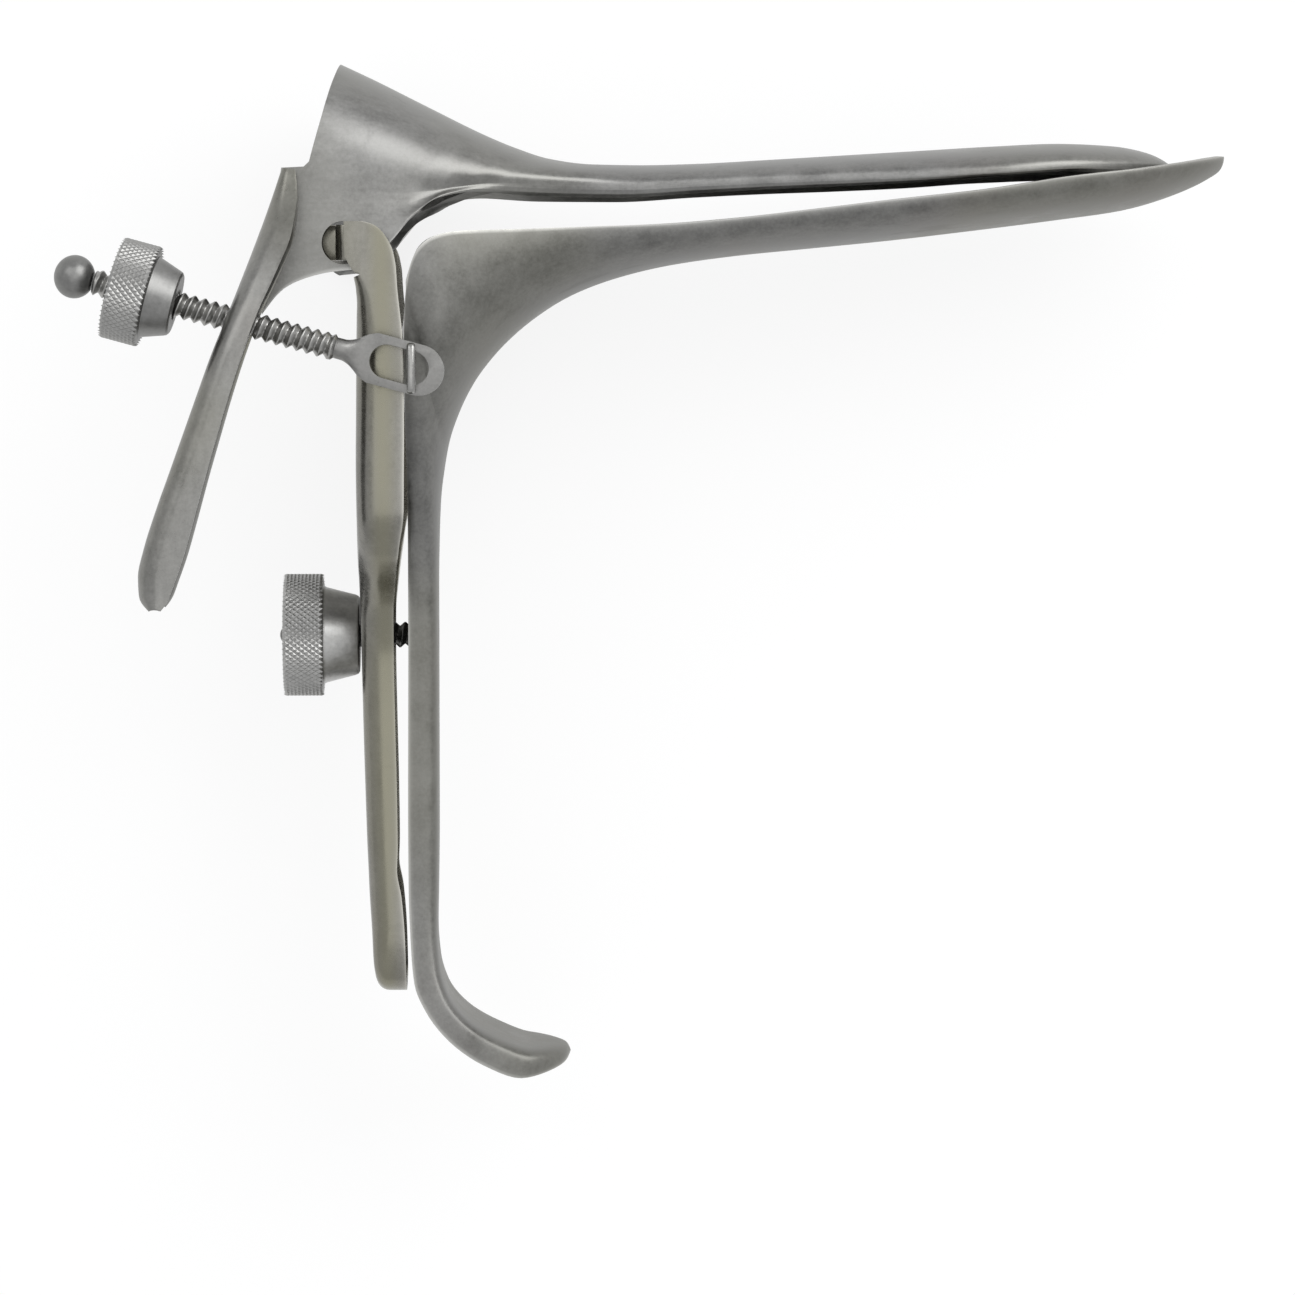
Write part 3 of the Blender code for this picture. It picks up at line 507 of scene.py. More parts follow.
# Along the blade: crown x y, foot of the arch x y, rim x y, half width and squareness.
UPPER_LINE = [
    (-0.7, 24.0, -4.4, 10.6, -10.6, -9.3, 22.0, 2.5), (4.2, 21.7, -1.2, 9.8, -7.2, -5.6, 22.0, 2.5),
    (8.6, 19.5, 2.6, 8.8, -2.4, -3.9, 22.0, 2.5), (12.6, 17.5, 6.0, 7.9, 2.6, -3.2, 22.0, 2.5),
    (15.8, 15.9, 8.9, 7.4, 6.3, 0.3, 21.9, 2.5), (19.0, 14.4, 11.7, 7.2, 9.2, 3.6, 21.2, 2.5),
    (22.7, 12.9, 15.0, 7.5, 12.7, 6.0, 19.8, 2.4), (27.2, 11.5, 19.6, 8.0, 17.8, 6.7, 17.4, 2.3),
    (32.8, 10.8, 27.0, 7.8, 25.8, 6.2, 14.8, 2.3), (39.5, 10.7, 36.8, 7.6, 36.3, 6.1, 13.3, 2.3),
    (47.0, 10.9, 46.5, 8.0, 46.5, 6.7, 13.3, 2.3), (56.0, 11.4, 56.0, 8.4, 56.0, 7.2, 14.2, 2.3),
    (66.0, 12.0, 66.0, 8.7, 66.0, 7.6, 15.4, 2.3), (76.0, 12.6, 76.0, 9.0, 76.0, 8.1, 16.5, 2.3),
    (86.0, 13.2, 86.0, 9.5, 86.0, 8.8, 16.9, 2.3), (95.0, 13.6, 95.0, 10.3, 95.0, 9.1, 15.7, 2.2),
    (102.5, 13.3, 102.5, 10.5, 102.5, 8.8, 12.4, 2.1), (107.5, 12.3, 107.5, 10.6, 107.5, 9.1, 8.2, 2.0),
    (109.8, 11.2, 109.8, 10.5, 109.8, 9.5, 4.1, 2.0), (110.5, 10.8, 110.5, 10.6, 110.5, 10.3, 0.0, 2.0),
]
SIDE_STEPS = (0, 0.12, 0.35, 0.68, 1)
LIP_SHARE = (0, 0, 0.05, 0.35, 1)
RIM_TURNED_IN = 0.8
PINCH, PINCH_FROM, PINCH_OVER = 1.7, -4.4, 31.4
UPPER_ROWS, UPPER_COLUMNS = 153, 22
EAR_FADE = 0.5
EAR_CORNERS = [(-4.4, 10.5), (-5.1, 9.85), (-8.0, 9.7), (-9.3, 0.5), (-10.6, -9.3)]
side_steps = np.unique(np.concatenate([np.linspace(0, 1, 10), SIDE_STEPS]))[1:]
upper_net = []
stations = np.linspace(0, len(UPPER_LINE) - 1, UPPER_ROWS)
for at, (x0, y0, x1, y1, x2, y2, width, square) in zip(stations, smooth(UPPER_LINE, UPPER_ROWS)):
    down, out = gutter(width, math.hypot(x1 - x0, y1 - y0) + 1e-6, square, UPPER_COLUMNS)
    pinch = PINCH * math.sin(math.pi * ramp(x1, PINCH_FROM, PINCH_OVER)) ** 2
    arch = [(x0 + (x1 - x0) * d, y0 + (y1 - y0) * d, (width - pinch) * o) for d, o in zip(down, out)]
    lip = min(RIM_TURNED_IN * ramp(x2, 12, 12), width / 4, 0.08 * max(0, 106 - x2))
    pull = max(0, 1 - at / EAR_FADE)
    corner_x, corner_y = EAR_CORNERS[0]
    arch[-1] = (x1 + (corner_x - x1) * pull, y1 + (corner_y - y1) * pull, width - pinch)
    side = []
    for f in side_steps:
        x, y = x1 + (x2 - x1) * f, y1 + (y2 - y1) * f
        ear_x, ear_y = (np.interp(f, SIDE_STEPS, [c[i] for c in EAR_CORNERS]) for i in (0, 1))
        half = width - pinch * (1 - f * f * (3 - 2 * f)) - lip * np.interp(f, SIDE_STEPS, LIP_SHARE)
        side.append((x + (ear_x - x) * pull, y + (ear_y - y) * pull, half))
    upper_net.append(near_rim(arch + side))
upper_blade = surface("upper_blade_sheet", upper_net)
mark_rim(upper_blade, upper_net, thin_below=THIN_BELOW)
sheet_metal(upper_blade, -1)
HINGE_HOLE_R = 2.8
join(upper_blade, prism("hinge_hole", circle(HINGE_HOLE_R, 48), -40, 40, "Z"))

# The far ear is cut to a round lobe about the hinge.
lobe_r = HINGE_HOLE_R + 1.4
lobe = [(lobe_r * math.cos(a), lobe_r * math.sin(a)) for a in np.radians(np.linspace(180, 310, 31))]
lobe += [(5.0, -14.0), (-16.0, -14.0), (-16.0, 14.0), (-4.9, 14.0), (-4.9, 10.5)]
join(upper_blade, prism("lobe_waste", lobe, -HALF_MOUTH - 3, -HALF_MOUTH + 2.4, "Z"))
close_seams(upper_blade)
hand_over(upper_blade, "upper_blade", "blade",
          steel("blasted_steel_upper", (0.224, 0.223, 0.217), 0.40, (0.3, 1, 1), mottle=1.4,
                tint=0.15, rim=0.45))


# Yoke: one pressed and polished sheet with a straw heat tint. Two arms rise to the hinge and
# meet in a slotted channel, and the outer edge is flanged forward all round. The edge of each
# arm folds in through the ear's hole, which is the whole hinge.
ARM_INNER = HALF_MOUTH + 0.4
ARM_OUTER = ARM_INNER + SHEET
ARM_MIDDLE = ARM_OUTER - SHEET / 2
# Above the web: height, back edge x and front edge x of the flange.
YOKE_TAB = [(2.75, 0.1, 2.5), (2.3, 0.1, 4.0), (1.5, 0.1, 5.0), (0.2, 0.1, 5.9), (-0.9, 0.15, 6.4),
            (-2.2, 0.45, 6.7), (-3.1, 0.9, 6.85), (-4.0, 1.6, 6.9)]
# Down the yoke: outer edge y z, inner edge y z, back face x and front edge x of the flange.
YOKE_LINE = [
    (-4.15, ARM_MIDDLE, -4.5, 22.3, 1.35, 6.92), (-5.6, ARM_MIDDLE, -6.0, 20.4, 1.6, 7.0),
    (-7.7, ARM_MIDDLE, -8.2, 18.9, 1.75, 7.2), (-9.4, ARM_MIDDLE, -9.9, 18.0, 1.7, 7.4),
    (-12.0, ARM_MIDDLE, -12.4, 16.6, 1.65, 7.65), (-17.0, ARM_MIDDLE, -16.5, 16.3, 1.6, 7.8),
    (-23.5, ARM_MIDDLE, -21.5, 16.2, 1.55, 7.85), (-29.5, ARM_MIDDLE, -26.0, 15.6, 1.5, 7.8),
    (-35.0, ARM_MIDDLE - 0.2, -29.4, 13.3, 1.55, 7.75), (-39.2, 21.4, -31.2, 9.6, 1.6, 7.15),
    (-42.6, 17.9, -31.9, 5.0, 1.6, 6.7), (-45.6, 13.6, -32.0, 0.0, 1.65, 6.4),
    (-49.2, 10.2, -39.0, 0.0, 1.7, 6.15), (-54.5, 8.7, -50.0, 0.0, 1.8, 6.15),
    (-63.0, 8.4, -62.0, 0.0, 2.0, 6.3), (-72.0, 8.4, -72.0, 0.0, 2.25, 6.5),
    (-80.0, 8.4, -80.0, 0.0, 2.5, 6.6), (-83.4, 8.4, -83.0, 0.0, 2.65, 6.5),
    (-87.0, 8.4, -86.5, 0.0, 2.8, 7.1), (-92.0, 8.4, -90.5, 0.0, 3.1, 7.5),
    (-96.2, 8.0, -93.0, 0.0, 3.3, 7.65), (-98.5, 6.3, -94.2, 0.0, 3.6, 7.7),
    (-99.4, 3.6, -94.8, 0.0, 3.8, 7.7), (-99.5, 0.0, -95.2, 0.0, 3.9, 7.7),
]
FOLD_R, FOOT_FOLD_R = 2.1, 1.1
YOKE_TAB_ROWS, YOKE_ROWS = 26, 116
SLOT_LOW, SLOT_HIGH, SLOT_R = -78.5, -43.0, 2.15


def slot_line(low, high, across, radius, sides=16):
    """A slot's outline with round ends, running along the first axis."""
    ends = []
    for centre, start in ((high, -math.pi / 2), (low, math.pi / 2)):
        for i in range(sides + 1):
            a = start + math.pi * i / sides
            ends.append((centre + radius * math.cos(a), across + radius * math.sin(a)))
    return ends


flange_steps = np.concatenate([[0, 0.08], np.linspace(0, 1, 8)[1:]])
fold_turns = np.radians(np.linspace(0, 90, 8))[1:]
plate_steps = np.linspace(0, 1, 9)[1:]
none = (math.nan,) * 3
yoke_net = []
for y, left, edge in smooth(YOKE_TAB, YOKE_TAB_ROWS):
    row = [(edge + (left - edge) * f, y, ARM_MIDDLE) for f in flange_steps]
    yoke_net.append(row + [none] * (len(fold_turns) + len(plate_steps)))
for y0, z0, y1, z1, plate_back, edge in smooth(YOKE_LINE, YOKE_ROWS):
    away = math.hypot(y1 - y0, z1 - z0)
    in_y, in_z = (y1 - y0) / away, (z1 - z0) / away
    plate = plate_back + SHEET / 2
    fold = min(FOLD_R * min(1, max(0.15, away / 6)), np.interp(y0, (-98, -91), (FOOT_FOLD_R, FOLD_R)))
    row = [(edge + (plate + fold - edge) * f, y0, z0) for f in flange_steps]
    for a in fold_turns:
        inward = fold * (1 - math.cos(a))
        row.append((plate + fold - fold * math.sin(a), y0 + in_y * inward, z0 + in_z * inward))
    for f in plate_steps:
        inward = fold + (away - fold) * f
        row.append((plate, y0 + in_y * inward, z0 + in_z * inward))
    yoke_net.append(row)
yoke = surface("yoke_sheet", yoke_net)
mark_rim(yoke, yoke_net, column=0)
sheet_metal(yoke, 0, rounding=0.3)
join(yoke, prism("stud_slot", slot_line(SLOT_LOW, SLOT_HIGH, 0, SLOT_R), 0, 6, "X"))

# The hinge tongues: each arm's edge folds in through the ear's hole and out behind it.
TONGUE_HALF = 2.3
LIP_OUT = HALF_MOUTH - SHEET - 0.4
LIP_IN = LIP_OUT - SHEET + 0.1
BEND_X, BEND_R = 0.45, 1.42
bend = np.radians(np.linspace(90, 180, 9))
TONGUE_LINE = [(BEND_X + BEND_R * math.cos(a), ARM_OUTER - 0.03 - BEND_R + BEND_R * math.sin(a))
               for a in bend]
TONGUE_LINE += [(BEND_X - BEND_R, LIP_OUT), (-3.9, LIP_OUT), (-3.9, LIP_IN), (-0.7, LIP_IN),
                (-0.1, LIP_IN + 0.18), (BEND_X - 0.32, LIP_IN + 0.7),
                (BEND_X - 0.32, ARM_OUTER - BEND_R), (BEND_X - 0.2, ARM_OUTER - 1.2),
                (BEND_X, ARM_INNER + 0.05), (1.2, ARM_INNER + 0.05), (1.2, ARM_OUTER - 0.03)]
for side, label in ((1, "near"), (-1, "far")):
    outline = [(x, z * side) for x, z in TONGUE_LINE]
    tongue = prism(label + "_tongue", outline, -TONGUE_HALF, TONGUE_HALF, "Y")
    soften(tongue, 0.15, 2, 60)
    settle(tongue)
    join(yoke, tongue, "UNION")
hand_over(yoke, "yoke_frame", "yoke",
          steel("polished_steel", (0.214, 0.209, 0.193), 0.27, (1, 0.25, 1), mottle=1.3,
                tint=0.45, blast=0.25, rim=0.6, band=(0.0, 0.0026)))


# Lug: a small T-headed lug, cut from sheet and welded in front of the near arm. It stands
# through the eye of the adjusting screw.
ROD_Z = ARM_OUTER + 3.4
ROD_SLOPE = math.radians(-15.2)
BALL_X, BALL_Y = -34.6, -4.6
LUG_X, LUG_THICK = 8.3, 1.1
EYE_THICK = 1.2
lug_y = BALL_Y + (LUG_X - BALL_X) * math.tan(ROD_SLOPE)
LUG_NECK_LOW, LUG_NECK_HIGH = ARM_OUTER + 0.9, ROD_Z + EYE_THICK / 2 + 0.35
LUG_LINE = [(2.6, ARM_INNER), (2.6, LUG_NECK_LOW - 0.4), (1.6, LUG_NECK_LOW), (1.6, LUG_NECK_HIGH),
            (3.3, LUG_NECK_HIGH), (3.3, LUG_NECK_HIGH + 0.9), (3.0, LUG_NECK_HIGH + 1.25),
            (2.6, LUG_NECK_HIGH + 1.4)]
lug_line = [(lug_y + a, b) for a, b in LUG_LINE] + [(lug_y - a, b) for a, b in reversed(LUG_LINE)]
lug = prism("lug", lug_line, LUG_X, LUG_X + LUG_THICK, "X")
soften(lug, 0.4, 4, 40)
settle(lug)
hand_over(lug, "screw_lug", "yoke",
          steel("lug_steel", (0.300, 0.298, 0.288), 0.22, mottle=0.8, blast=0.2))


# Thumb lever: a channel-shaped lever, pressed from sheet and brazed to the near ear. Its
# web faces the operator's thumb and is slotted for the screw; handling has polished it.
LEVER_LOW = HALF_MOUTH + 0.3 + SHEET / 2
LEVER_FOLD = 2.0
LEVER_ROWS = 66
# Down the lever: back edge x y, front edge x y and how far its near flange stands out.
LEVER_LINE = [
    (-7.9, 9.4, -6.1, 9.2, 2.6), (-9.3, 5.0, -5.8, 5.4, 4.2), (-11.2, -0.6, -6.3, 1.0, 7.0),
    (-13.2, -6.0, -8.4, -4.4, 9.4), (-15.1, -10.8, -10.8, -9.6, 10.8),
    (-16.8, -14.9, -12.6, -14.3, 11.4), (-18.6, -19.8, -14.4, -19.8, 11.6),
    (-20.4, -24.8, -16.0, -25.2, 11.7), (-22.2, -29.8, -17.5, -30.4, 11.8),
    (-24.0, -34.8, -19.0, -35.9, 11.9), (-25.4, -39.2, -20.4, -40.8, 12.0),
    (-26.2, -42.8, -21.5, -43.9, 12.0), (-26.1, -45.2, -22.3, -46.0, 12.0),
    (-24.9, -46.8, -23.2, -47.3, 12.0),
]
lever_net = []
half = SHEET / 2
for x0, y0, x1, y1, near in smooth(LEVER_LINE, LEVER_ROWS):
    wide = math.hypot(x1 - x0, y1 - y0)
    to_x, to_y = (x1 - x0) / wide, (y1 - y0) / wide
    low, high = LEVER_LOW, HALF_MOUTH + near - half
    fold = min(LEVER_FOLD, (wide - half) * 0.6, (high - low) * 0.45)
    reach = wide - half - fold
    section = [(half + fold + reach * f, low) for f in (1, 0.75, 0.5, 0.25, 0)]
    section += [(half + fold * (1 - math.sin(a)), low + fold * (1 - math.cos(a)))
                for a in np.radians((18, 36, 54, 72, 90))]
    section += [(half, low + fold + (high - low - 2 * fold) * f) for f in (0.16, 0.33, 0.5, 0.67, 0.84)]
    section += [(half + fold * (1 - math.sin(a)), high - fold * (1 - math.cos(a)))
                for a in np.radians((90, 72, 54, 36, 18))]
    section += [(half + fold + reach * f, high) for f in (0, 0.25, 0.5, 0.75, 1)]
    lever_net.append([(x0 + to_x * out, y0 + to_y * out, z) for out, z in section])
lever = surface("thumb_lever_sheet", lever_net)
sheet_metal(lever, 0, mirrored=False, rounding=0.3)

# The rod passes through the lever's hole, so its place and slope are worked out here.
ROD_RISE = math.radians(3.0)
rod_turn = Euler((0, -ROD_RISE, ROD_SLOPE))
along_to_lug = (LUG_X + LUG_THICK / 2 - BALL_X) / math.cos(ROD_SLOPE) / math.cos(ROD_RISE)
screw_frame = (Matrix.Translation(spot(LUG_X + LUG_THICK / 2, lug_y, ROD_Z))
               @ rod_turn.to_matrix().to_4x4())
ball_frame = screw_frame @ Matrix.Translation((-along_to_lug * MM, 0, 0))
HOLE_ALONG, HOLE_HALF, HOLE_R = 22.3, 1.9, 2.2
hole_frame = Matrix.Translation(ball_frame @ Vector((HOLE_ALONG * MM, 0, 0))) @ Matrix.Rotation(
    math.radians(-21), 4, "Z")
join(lever, prism("lever_hole", slot_line(-HOLE_HALF, HOLE_HALF, 0, HOLE_R), -4, 4, "X", hole_frame))
hand_over(lever, "thumb_lever", "blade",
          steel("handled_steel", (0.215, 0.213, 0.203), 0.31, (1, 0.3, 1), mottle=1.2,
                tint=0.45, blast=0.35))


# Adjusting screw: a rod with a coarse rolled thread. Its end is forged flat into a slotted
# eye, which swings on the lug.
ROOT_R, PITCH = 1.22, 1.37


def threaded_rod(name, profile, low, high, place, sides=40, step=0.098):
    """A rod along X whose thread runs from low to high. The profile gives its largest radius
    along its whole length. The crest is flat over a tenth of the pitch."""
    line = np.array(profile, float)
    stations = np.unique(np.concatenate([np.arange(line[0, 0], line[-1, 0], step), line[:, 0]]))
    turns = np.linspace(0, 2 * math.pi, sides, endpoint=False)
    rows = []
    for x in stations:
        radius = np.interp(x, line[:, 0], line[:, 1])
        phase = (x / PITCH + turns / (2 * math.pi)) % 1
        ridge = np.clip(1.12 - 1.2 * np.abs(2 * phase - 1), 0, 1)
        cut = (THREAD_R - ROOT_R) * (1 - ridge) * min(ramp(x, low, 0.5), ramp(x, high, -0.8))
        if low < x < high:
            radii = np.minimum(radius, np.maximum(THREAD_R - cut, 0.02))
        else:
            radii = np.full(sides, radius)
        rows.append([(x, r * math.cos(a), r * math.sin(a)) for r, a in zip(radii, turns)])
    return surface(name, rows, around=True, place=place)


EYE_REACH, EYE_LENGTH, EYE_WIDTH = 49.4, 12.7, 6.6
EYE_STRAND, EYE_END = 1.1, 2.0
NECK_START, NECK_R = 34.6, 1.36
EYE_FROM = EYE_REACH - EYE_LENGTH
half_eye = EYE_WIDTH / 2
rod = threaded_rod(
    "adjusting_screw_rod",
    [(2.6, 0), (2.61, THREAD_R - 0.3), (2.9, THREAD_R), (NECK_START, THREAD_R),
     (NECK_START + 0.35, NECK_R), (NECK_START + 0.79, NECK_R), (NECK_START + 0.8, 0)],
    2.6, NECK_START + 0.1, ball_frame)

# Lofted neck: round at the thread, flat where it meets the eye.
NECK_LINE = [(NECK_START + 0.5, NECK_R + 0.01, NECK_R + 0.01, 2.0), (EYE_FROM - 0.7, 1.38, 1.30, 2.1),
             (EYE_FROM + 0.2, 1.62, 1.08, 2.5), (EYE_FROM + 1.1, 2.15, 0.84, 3.2),
             (EYE_FROM + 2.0, 2.8, 0.68, 4.0), (EYE_FROM + 2.8, 3.1, 0.6, 6.0),
             (EYE_FROM + 3.3, 2.2, 0.5, 6.0)]
NECK_ROWS, NECK_SIDES = 31, 48
neck_rows = []
neck_turns = np.linspace(0, 2 * math.pi, NECK_SIDES, endpoint=False)
for x, across, thick, square in smooth(NECK_LINE, NECK_ROWS):
    c, s = np.cos(neck_turns), np.sin(neck_turns)
    neck_rows.append([(x, across * math.copysign(abs(a) ** (2 / square), a),
                       thick * math.copysign(abs(b) ** (2 / square), b)) for a, b in zip(c, s)])
first, last = neck_rows[0][0][0], neck_rows[-1][0][0]
neck_rows = [[(first, 0, 0)] * NECK_SIDES] + neck_rows + [[(last, 0, 0)] * NECK_SIDES]
neck = surface("neck", neck_rows, around=True, place=ball_frame)

eye_line = [(EYE_FROM + 0.6, -1.3), (EYE_FROM + 1.2, -2.1), (EYE_FROM + 2.1, -2.85),
            (EYE_FROM + 3.2, -half_eye)]
eye_line += [(EYE_REACH - half_eye + half_eye * math.cos(a), half_eye * math.sin(a))
             for a in np.radians(np.linspace(-90, 90, 25))]
eye_line += [(x, -y) for x, y in reversed(eye_line[:4])]
eye = prism("eye", eye_line, -EYE_THICK / 2, EYE_THICK / 2, "Z", ball_frame)
slot_half = half_eye - EYE_STRAND
join(eye, neck, "UNION")
eye_slot = slot_line(EYE_FROM + 2.9 + slot_half, EYE_REACH - EYE_END - slot_half, 0, slot_half)
join(eye, prism("eye_slot", eye_slot, -4, 4, "Z", ball_frame))
soften(eye, 0.28, 3, 60)
settle(eye)
join(rod, eye, "UNION")
# The thread is painted 2.1 times brighter than the eye: painted light that lifts the rod out of the
# shade it lies in.
hand_over(rod, "adjusting_screw", "rod",
          steel("screw_steel", (0.212, 0.210, 0.203), 0.33, blast=0.4, centre=ball_frame.translation,
                turn=rod_turn, knurl_to=(NECK_START + 0.2) * MM, knurl_share=2.1))


# Stop ball: a small steel ball, pressed on the rod's free end and left dull. It keeps the nut
# from coming off.
def turned(name, profile, place, sides=96):
    """A closed profile (distance along the axis, radius) turned about X."""
    turns = np.linspace(0, 2 * math.pi, sides, endpoint=False)
    rows = [[(x, r * math.cos(a), r * math.sin(a)) for a in turns] for x, r in profile]
    return surface(name, rows, around=True, place=place)


BALL_R, BALL_SQUASH = 2.82, 0.94
ball_steps = np.radians(np.linspace(180, 26, 40))
ball_profile = [(BALL_SQUASH * BALL_R * math.cos(a), BALL_R * math.sin(a)) for a in ball_steps]
ball_profile[0] = (-BALL_SQUASH * BALL_R, 0)
ball_profile.append((ball_profile[-1][0], 0))
ball = turned("stop_ball_body", ball_profile, ball_frame)
hand_over(ball, "stop_ball", "rod",
          steel("dull_steel", (0.215, 0.215, 0.209), 0.40, blast=0.6))


# Lever nut: turned from bar, with a diamond knurl on its rim and a tapered boss that bears
# on the lever. The turning marks still show on the boss.
def knurl(name, place, low, high, radius, count, rows, height, finish):
    """Flat-topped diamonds in staggered rows on a rim, made by a node tree."""
    tree = bpy.data.node_groups.new(name, "GeometryNodeTree")
    tree.interface.new_socket("Geometry", in_out="INPUT", socket_type="NodeSocketGeometry")
    sockets = {}
    for label, value in (("Radius", radius * MM), ("Low", low * MM), ("High", high * MM),
                         ("Height", height * MM)):
        made = tree.interface.new_socket(label, in_out="INPUT", socket_type="NodeSocketFloat")
        sockets[made.identifier] = value
    for label, value in (("Around", count), ("Rows", rows)):
        made = tree.interface.new_socket(label, in_out="INPUT", socket_type="NodeSocketInt")
        sockets[made.identifier] = value
    tree.interface.new_socket("Geometry", in_out="OUTPUT", socket_type="NodeSocketGeometry")
    given = tree.nodes.new("NodeGroupInput").outputs

    def node(kind, settings, values):
        made = tree.nodes.new(kind)
        for setting, value in settings.items():
            setattr(made, setting, value)
        for socket, value in values.items():
            if isinstance(value, bpy.types.NodeSocket):
                tree.links.new(value, made.inputs[socket])
            else:
                made.inputs[socket].default_value = value
        return made.outputs[0]

    def sums(operation, a, b=0.0):
        return node("ShaderNodeMath", {"operation": operation}, {0: a, 1: b})

    total = sums("MULTIPLY", given["Around"], given["Rows"])
    points = node("GeometryNodePoints", {}, {"Count": total})
    index = node("GeometryNodeInputIndex", {}, {})
    row = sums("FLOOR", sums("DIVIDE", sums("ADD", index, 0.01), given["Around"]))
    place_round = sums("SUBTRACT", index, sums("MULTIPLY", row, given["Around"]))
    stagger = sums("MULTIPLY", sums("MODULO", row, 2.0), 0.5)
    turned_by = sums("DIVIDE", sums("ADD", place_round, stagger), given["Around"])
    angle = sums("MULTIPLY", turned_by, 2 * math.pi)
    wide = sums("SUBTRACT", given["High"], given["Low"])
    step = sums("DIVIDE", wide, sums("SUBTRACT", given["Rows"], 1.0))
    along = sums("ADD", given["Low"], sums("MULTIPLY", row, step))
    out_y, out_z = sums("COSINE", angle), sums("SINE", angle)
    radial = node("ShaderNodeCombineXYZ", {}, {"Y": out_y, "Z": out_z})
    seat = sums("SUBTRACT", given["Radius"], given["Height"])
    at = node("ShaderNodeCombineXYZ", {}, {"X": along, "Y": sums("MULTIPLY", out_y, seat),
                                           "Z": sums("MULTIPLY", out_z, seat)})
    placed = node("GeometryNodeSetPosition", {}, {"Geometry": points, "Position": at})
    diamond = node("GeometryNodeMeshCone", {"fill_type": "NGON"},
                   {"Vertices": 4, "Radius Top": 0.30, "Radius Bottom": 1.04, "Depth": 1.0})
    stand = node("FunctionNodeAxesToRotation", {"primary_axis": "Z", "secondary_axis": "X"},
                 {"Primary Axis": radial, "Secondary Axis": (1.0, 0.0, 0.0)})
    half_round = sums("MULTIPLY", sums("DIVIDE", given["Radius"], given["Around"]), math.pi)
    size = node("ShaderNodeCombineXYZ", {}, {"X": step, "Y": half_round, "Z": given["Height"]})
    put = node("GeometryNodeInstanceOnPoints", {},
               {"Points": placed, "Instance": diamond, "Rotation": stand, "Scale": size})
    real = node("GeometryNodeRealizeInstances", {}, {"Geometry": put})
    dressed = node("GeometryNodeSetMaterial", {}, {"Geometry": real, "Material": finish})
    tree.links.new(dressed, tree.nodes.new("NodeGroupOutput").inputs[0])
    made = bpy.data.objects.new(name, bpy.data.meshes.new(name))
    scene.collection.objects.link(made)
    press = made.modifiers.new("Knurl", "NODES")
    press.node_group = tree
    for identifier, value in sockets.items():
        press[identifier] = value
    settle(made)
    made.data.transform(place)
    return made


def knurled(body, marks, node, carrier, finish):
    """Joins the knurl to its nut and hands the nut over."""
    shape = bmesh.new()
    shape.from_mesh(body.data)
    shape.from_mesh(marks.data)
    shape.to_mesh(body.data)
    shape.free()
    bpy.data.objects.remove(marks)
    hand_over(body, node, carrier, finish, sharp=25)


KNURL_HIGH = 0.14
BORE_R = THREAD_R + 0.12
NUT_FROM, NUT_TO, NUT_R = 5.1, 10.0, 6.65
NUT_KNURL_INSET, NUT_AROUND, NUT_ROWS = 0.42, 54, 9
BOSS_TO, BOSS_R0, BOSS_R1 = 13.6, 5.25, 4.3
rim = NUT_R - KNURL_HIGH
lever_nut = turned("lever_nut_body", [
    (NUT_FROM, BORE_R + 0.35), (NUT_FROM, rim - 0.45), (NUT_FROM + 0.1, rim - 0.2),
    (NUT_FROM + 0.35, rim), (NUT_TO - 0.35, rim), (NUT_TO - 0.1, rim - 0.2), (NUT_TO, rim - 0.45),
    (NUT_TO + 0.02, BOSS_R0 + 0.3), (NUT_TO + 0.12, BOSS_R0 + 0.12), (NUT_TO + 0.4, BOSS_R0),
    (BOSS_TO - 0.5, BOSS_R1 + 0.02), (BOSS_TO - 0.2, BOSS_R1 - 0.12), (BOSS_TO, BOSS_R1 - 0.4),
    (BOSS_TO, BORE_R + 0.3), (BOSS_TO - 0.3, BORE_R), (NUT_FROM + 0.35, BORE_R),
    (NUT_FROM, BORE_R + 0.35)], ball_frame)
# The knurl is painted 1.7 times brighter than the boss: painted light that lifts the knurl out of its
# shade.
nut_steel = steel("turned_steel_lever_nut", (0.245, 0.244, 0.238), 0.40, lines=1.0,
                  centre=ball_frame.translation, turn=rod_turn, blast=0.3, knurl_to=NUT_TO * MM,
                  knurl_share=1.7)
nut_knurl = knurl("lever_nut_knurl", ball_frame, NUT_FROM + NUT_KNURL_INSET, NUT_TO - NUT_KNURL_INSET,
                  NUT_R, NUT_AROUND, NUT_ROWS, KNURL_HIGH, nut_steel)
knurled(lever_nut, nut_knurl, "lever_nut", "lever_knob", nut_steel)


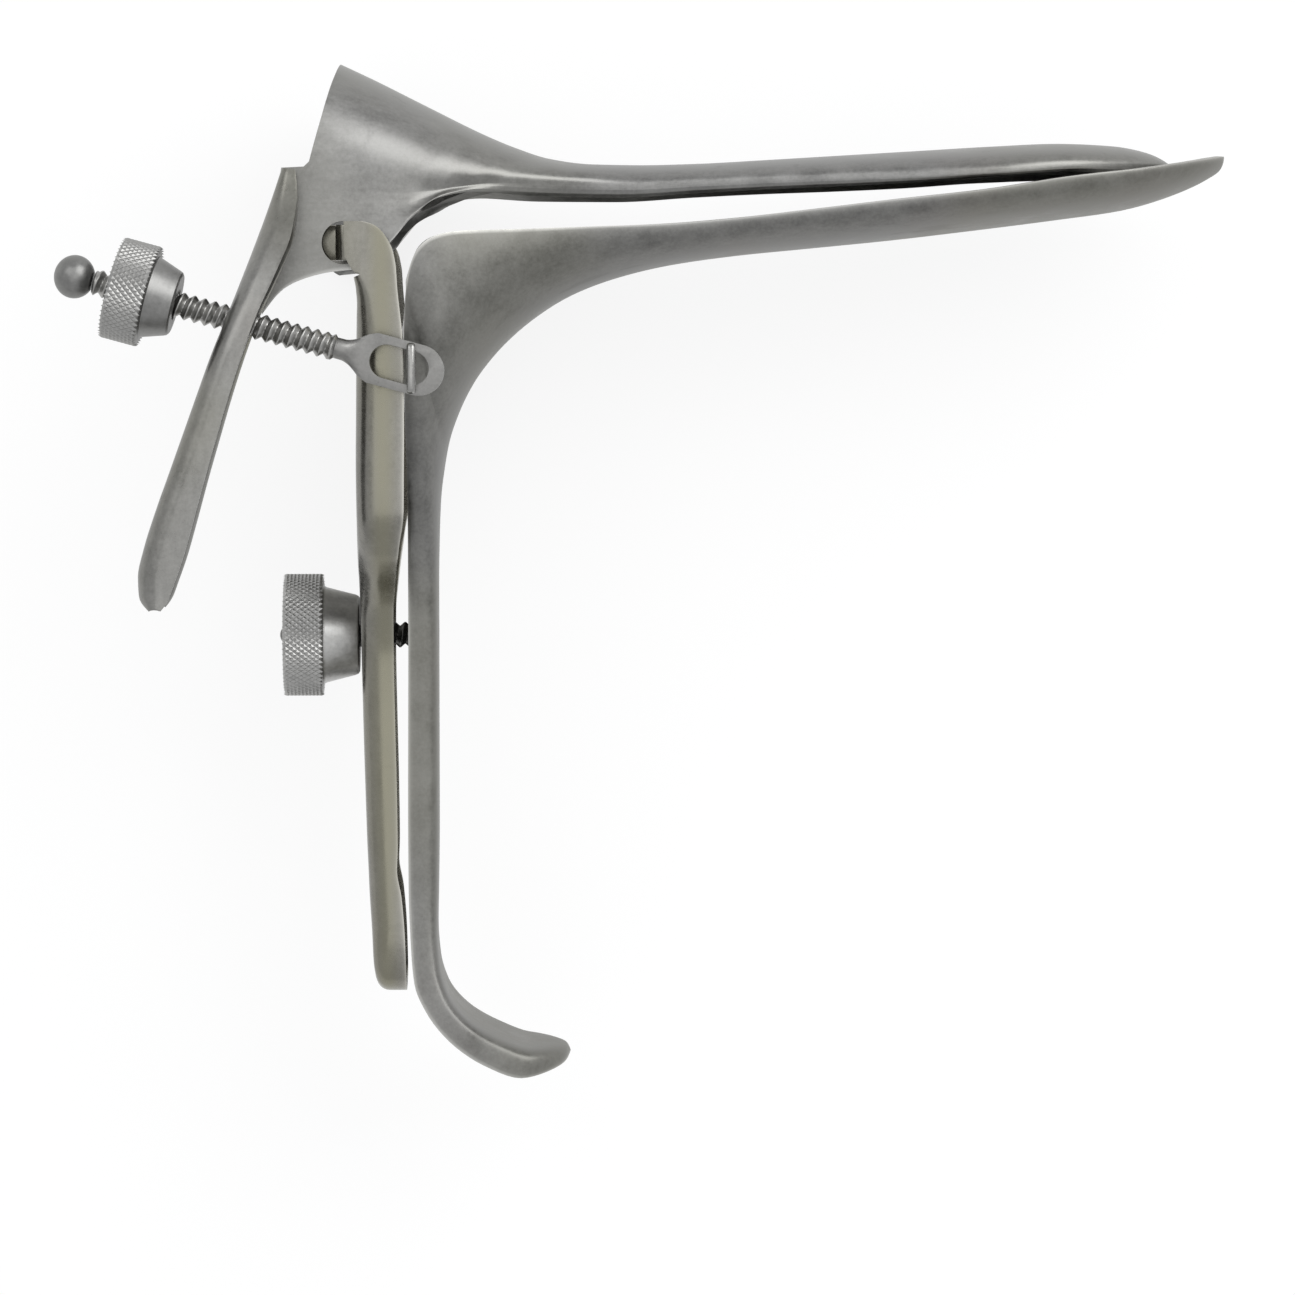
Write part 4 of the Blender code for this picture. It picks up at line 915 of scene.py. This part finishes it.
# Clamp stud: a coarse threaded stud. Its shank is riveted through the handle and its free
# end is domed.
STUD_END, DOME_R = -9.3, 1.45
stud_frame = Matrix.Translation(spot(0, STUD_Y, 0))
dome = [(STUD_END + DOME_R - DOME_R * math.cos(a), DOME_R * math.sin(a))
        for a in np.radians(np.linspace(0, 68, 12))]
stud = threaded_rod(
    "clamp_stud_body",
    dome + [(STUD_END + 1.3, THREAD_R), (9.6, THREAD_R), (9.9, SHANK_R), (11.75, SHANK_R),
            (11.95, SHANK_R - 0.2), (11.95, 0)],
    STUD_END + 1.0, 9.8, stud_frame)
hand_over(stud, "clamp_stud", "handle",
          steel("stud_steel", (0.150, 0.149, 0.144), 0.34, blast=0.4))


# Clamp nut: the larger knurled nut, turned from bar like the other one. It runs on the stud
# and presses the yoke against the handle.
CLAMP_FROM, CLAMP_TO, CLAMP_R = -8.7, -3.4, 8.2
CLAMP_KNURL_INSET, CLAMP_AROUND, CLAMP_ROWS = 0.44, 68, 10
rim = CLAMP_R - KNURL_HIGH
clamp_nut = turned("clamp_nut_body", [
    (CLAMP_FROM, BORE_R + 0.35), (CLAMP_FROM, rim - 0.55), (CLAMP_FROM + 0.12, rim - 0.25),
    (CLAMP_FROM + 0.4, rim), (CLAMP_TO - 0.4, rim), (CLAMP_TO - 0.12, rim - 0.25), (CLAMP_TO, rim - 0.6),
    (CLAMP_TO + 0.1, 6.6), (CLAMP_TO + 0.4, 6.42), (0.9, 5.42), (1.25, 5.25), (1.45, 4.95),
    (1.45, BORE_R + 0.3), (1.15, BORE_R), (CLAMP_FROM + 0.35, BORE_R), (CLAMP_FROM, BORE_R + 0.35)],
    stud_frame)
# The boss's colour is about twice that of the other steels: painted light against the shade it sits in
# between the yoke and the knurled rim. The knurl keeps 0.45 of it.
clamp_steel = steel("turned_steel_clamp_nut", (0.520, 0.518, 0.506), 0.40, lines=1.0,
                    centre=stud_frame.translation, blast=0.3,
                    knurl_to=(CLAMP_TO + 0.1) * MM, knurl_share=0.45)
clamp_knurl = knurl("clamp_nut_knurl", stud_frame, CLAMP_FROM + CLAMP_KNURL_INSET,
                    CLAMP_TO - CLAMP_KNURL_INSET, CLAMP_R, CLAMP_AROUND, CLAMP_ROWS, KNURL_HIGH,
                    clamp_steel)
knurled(clamp_nut, clamp_knurl, "clamp_nut", "clamp_knob", clamp_steel)
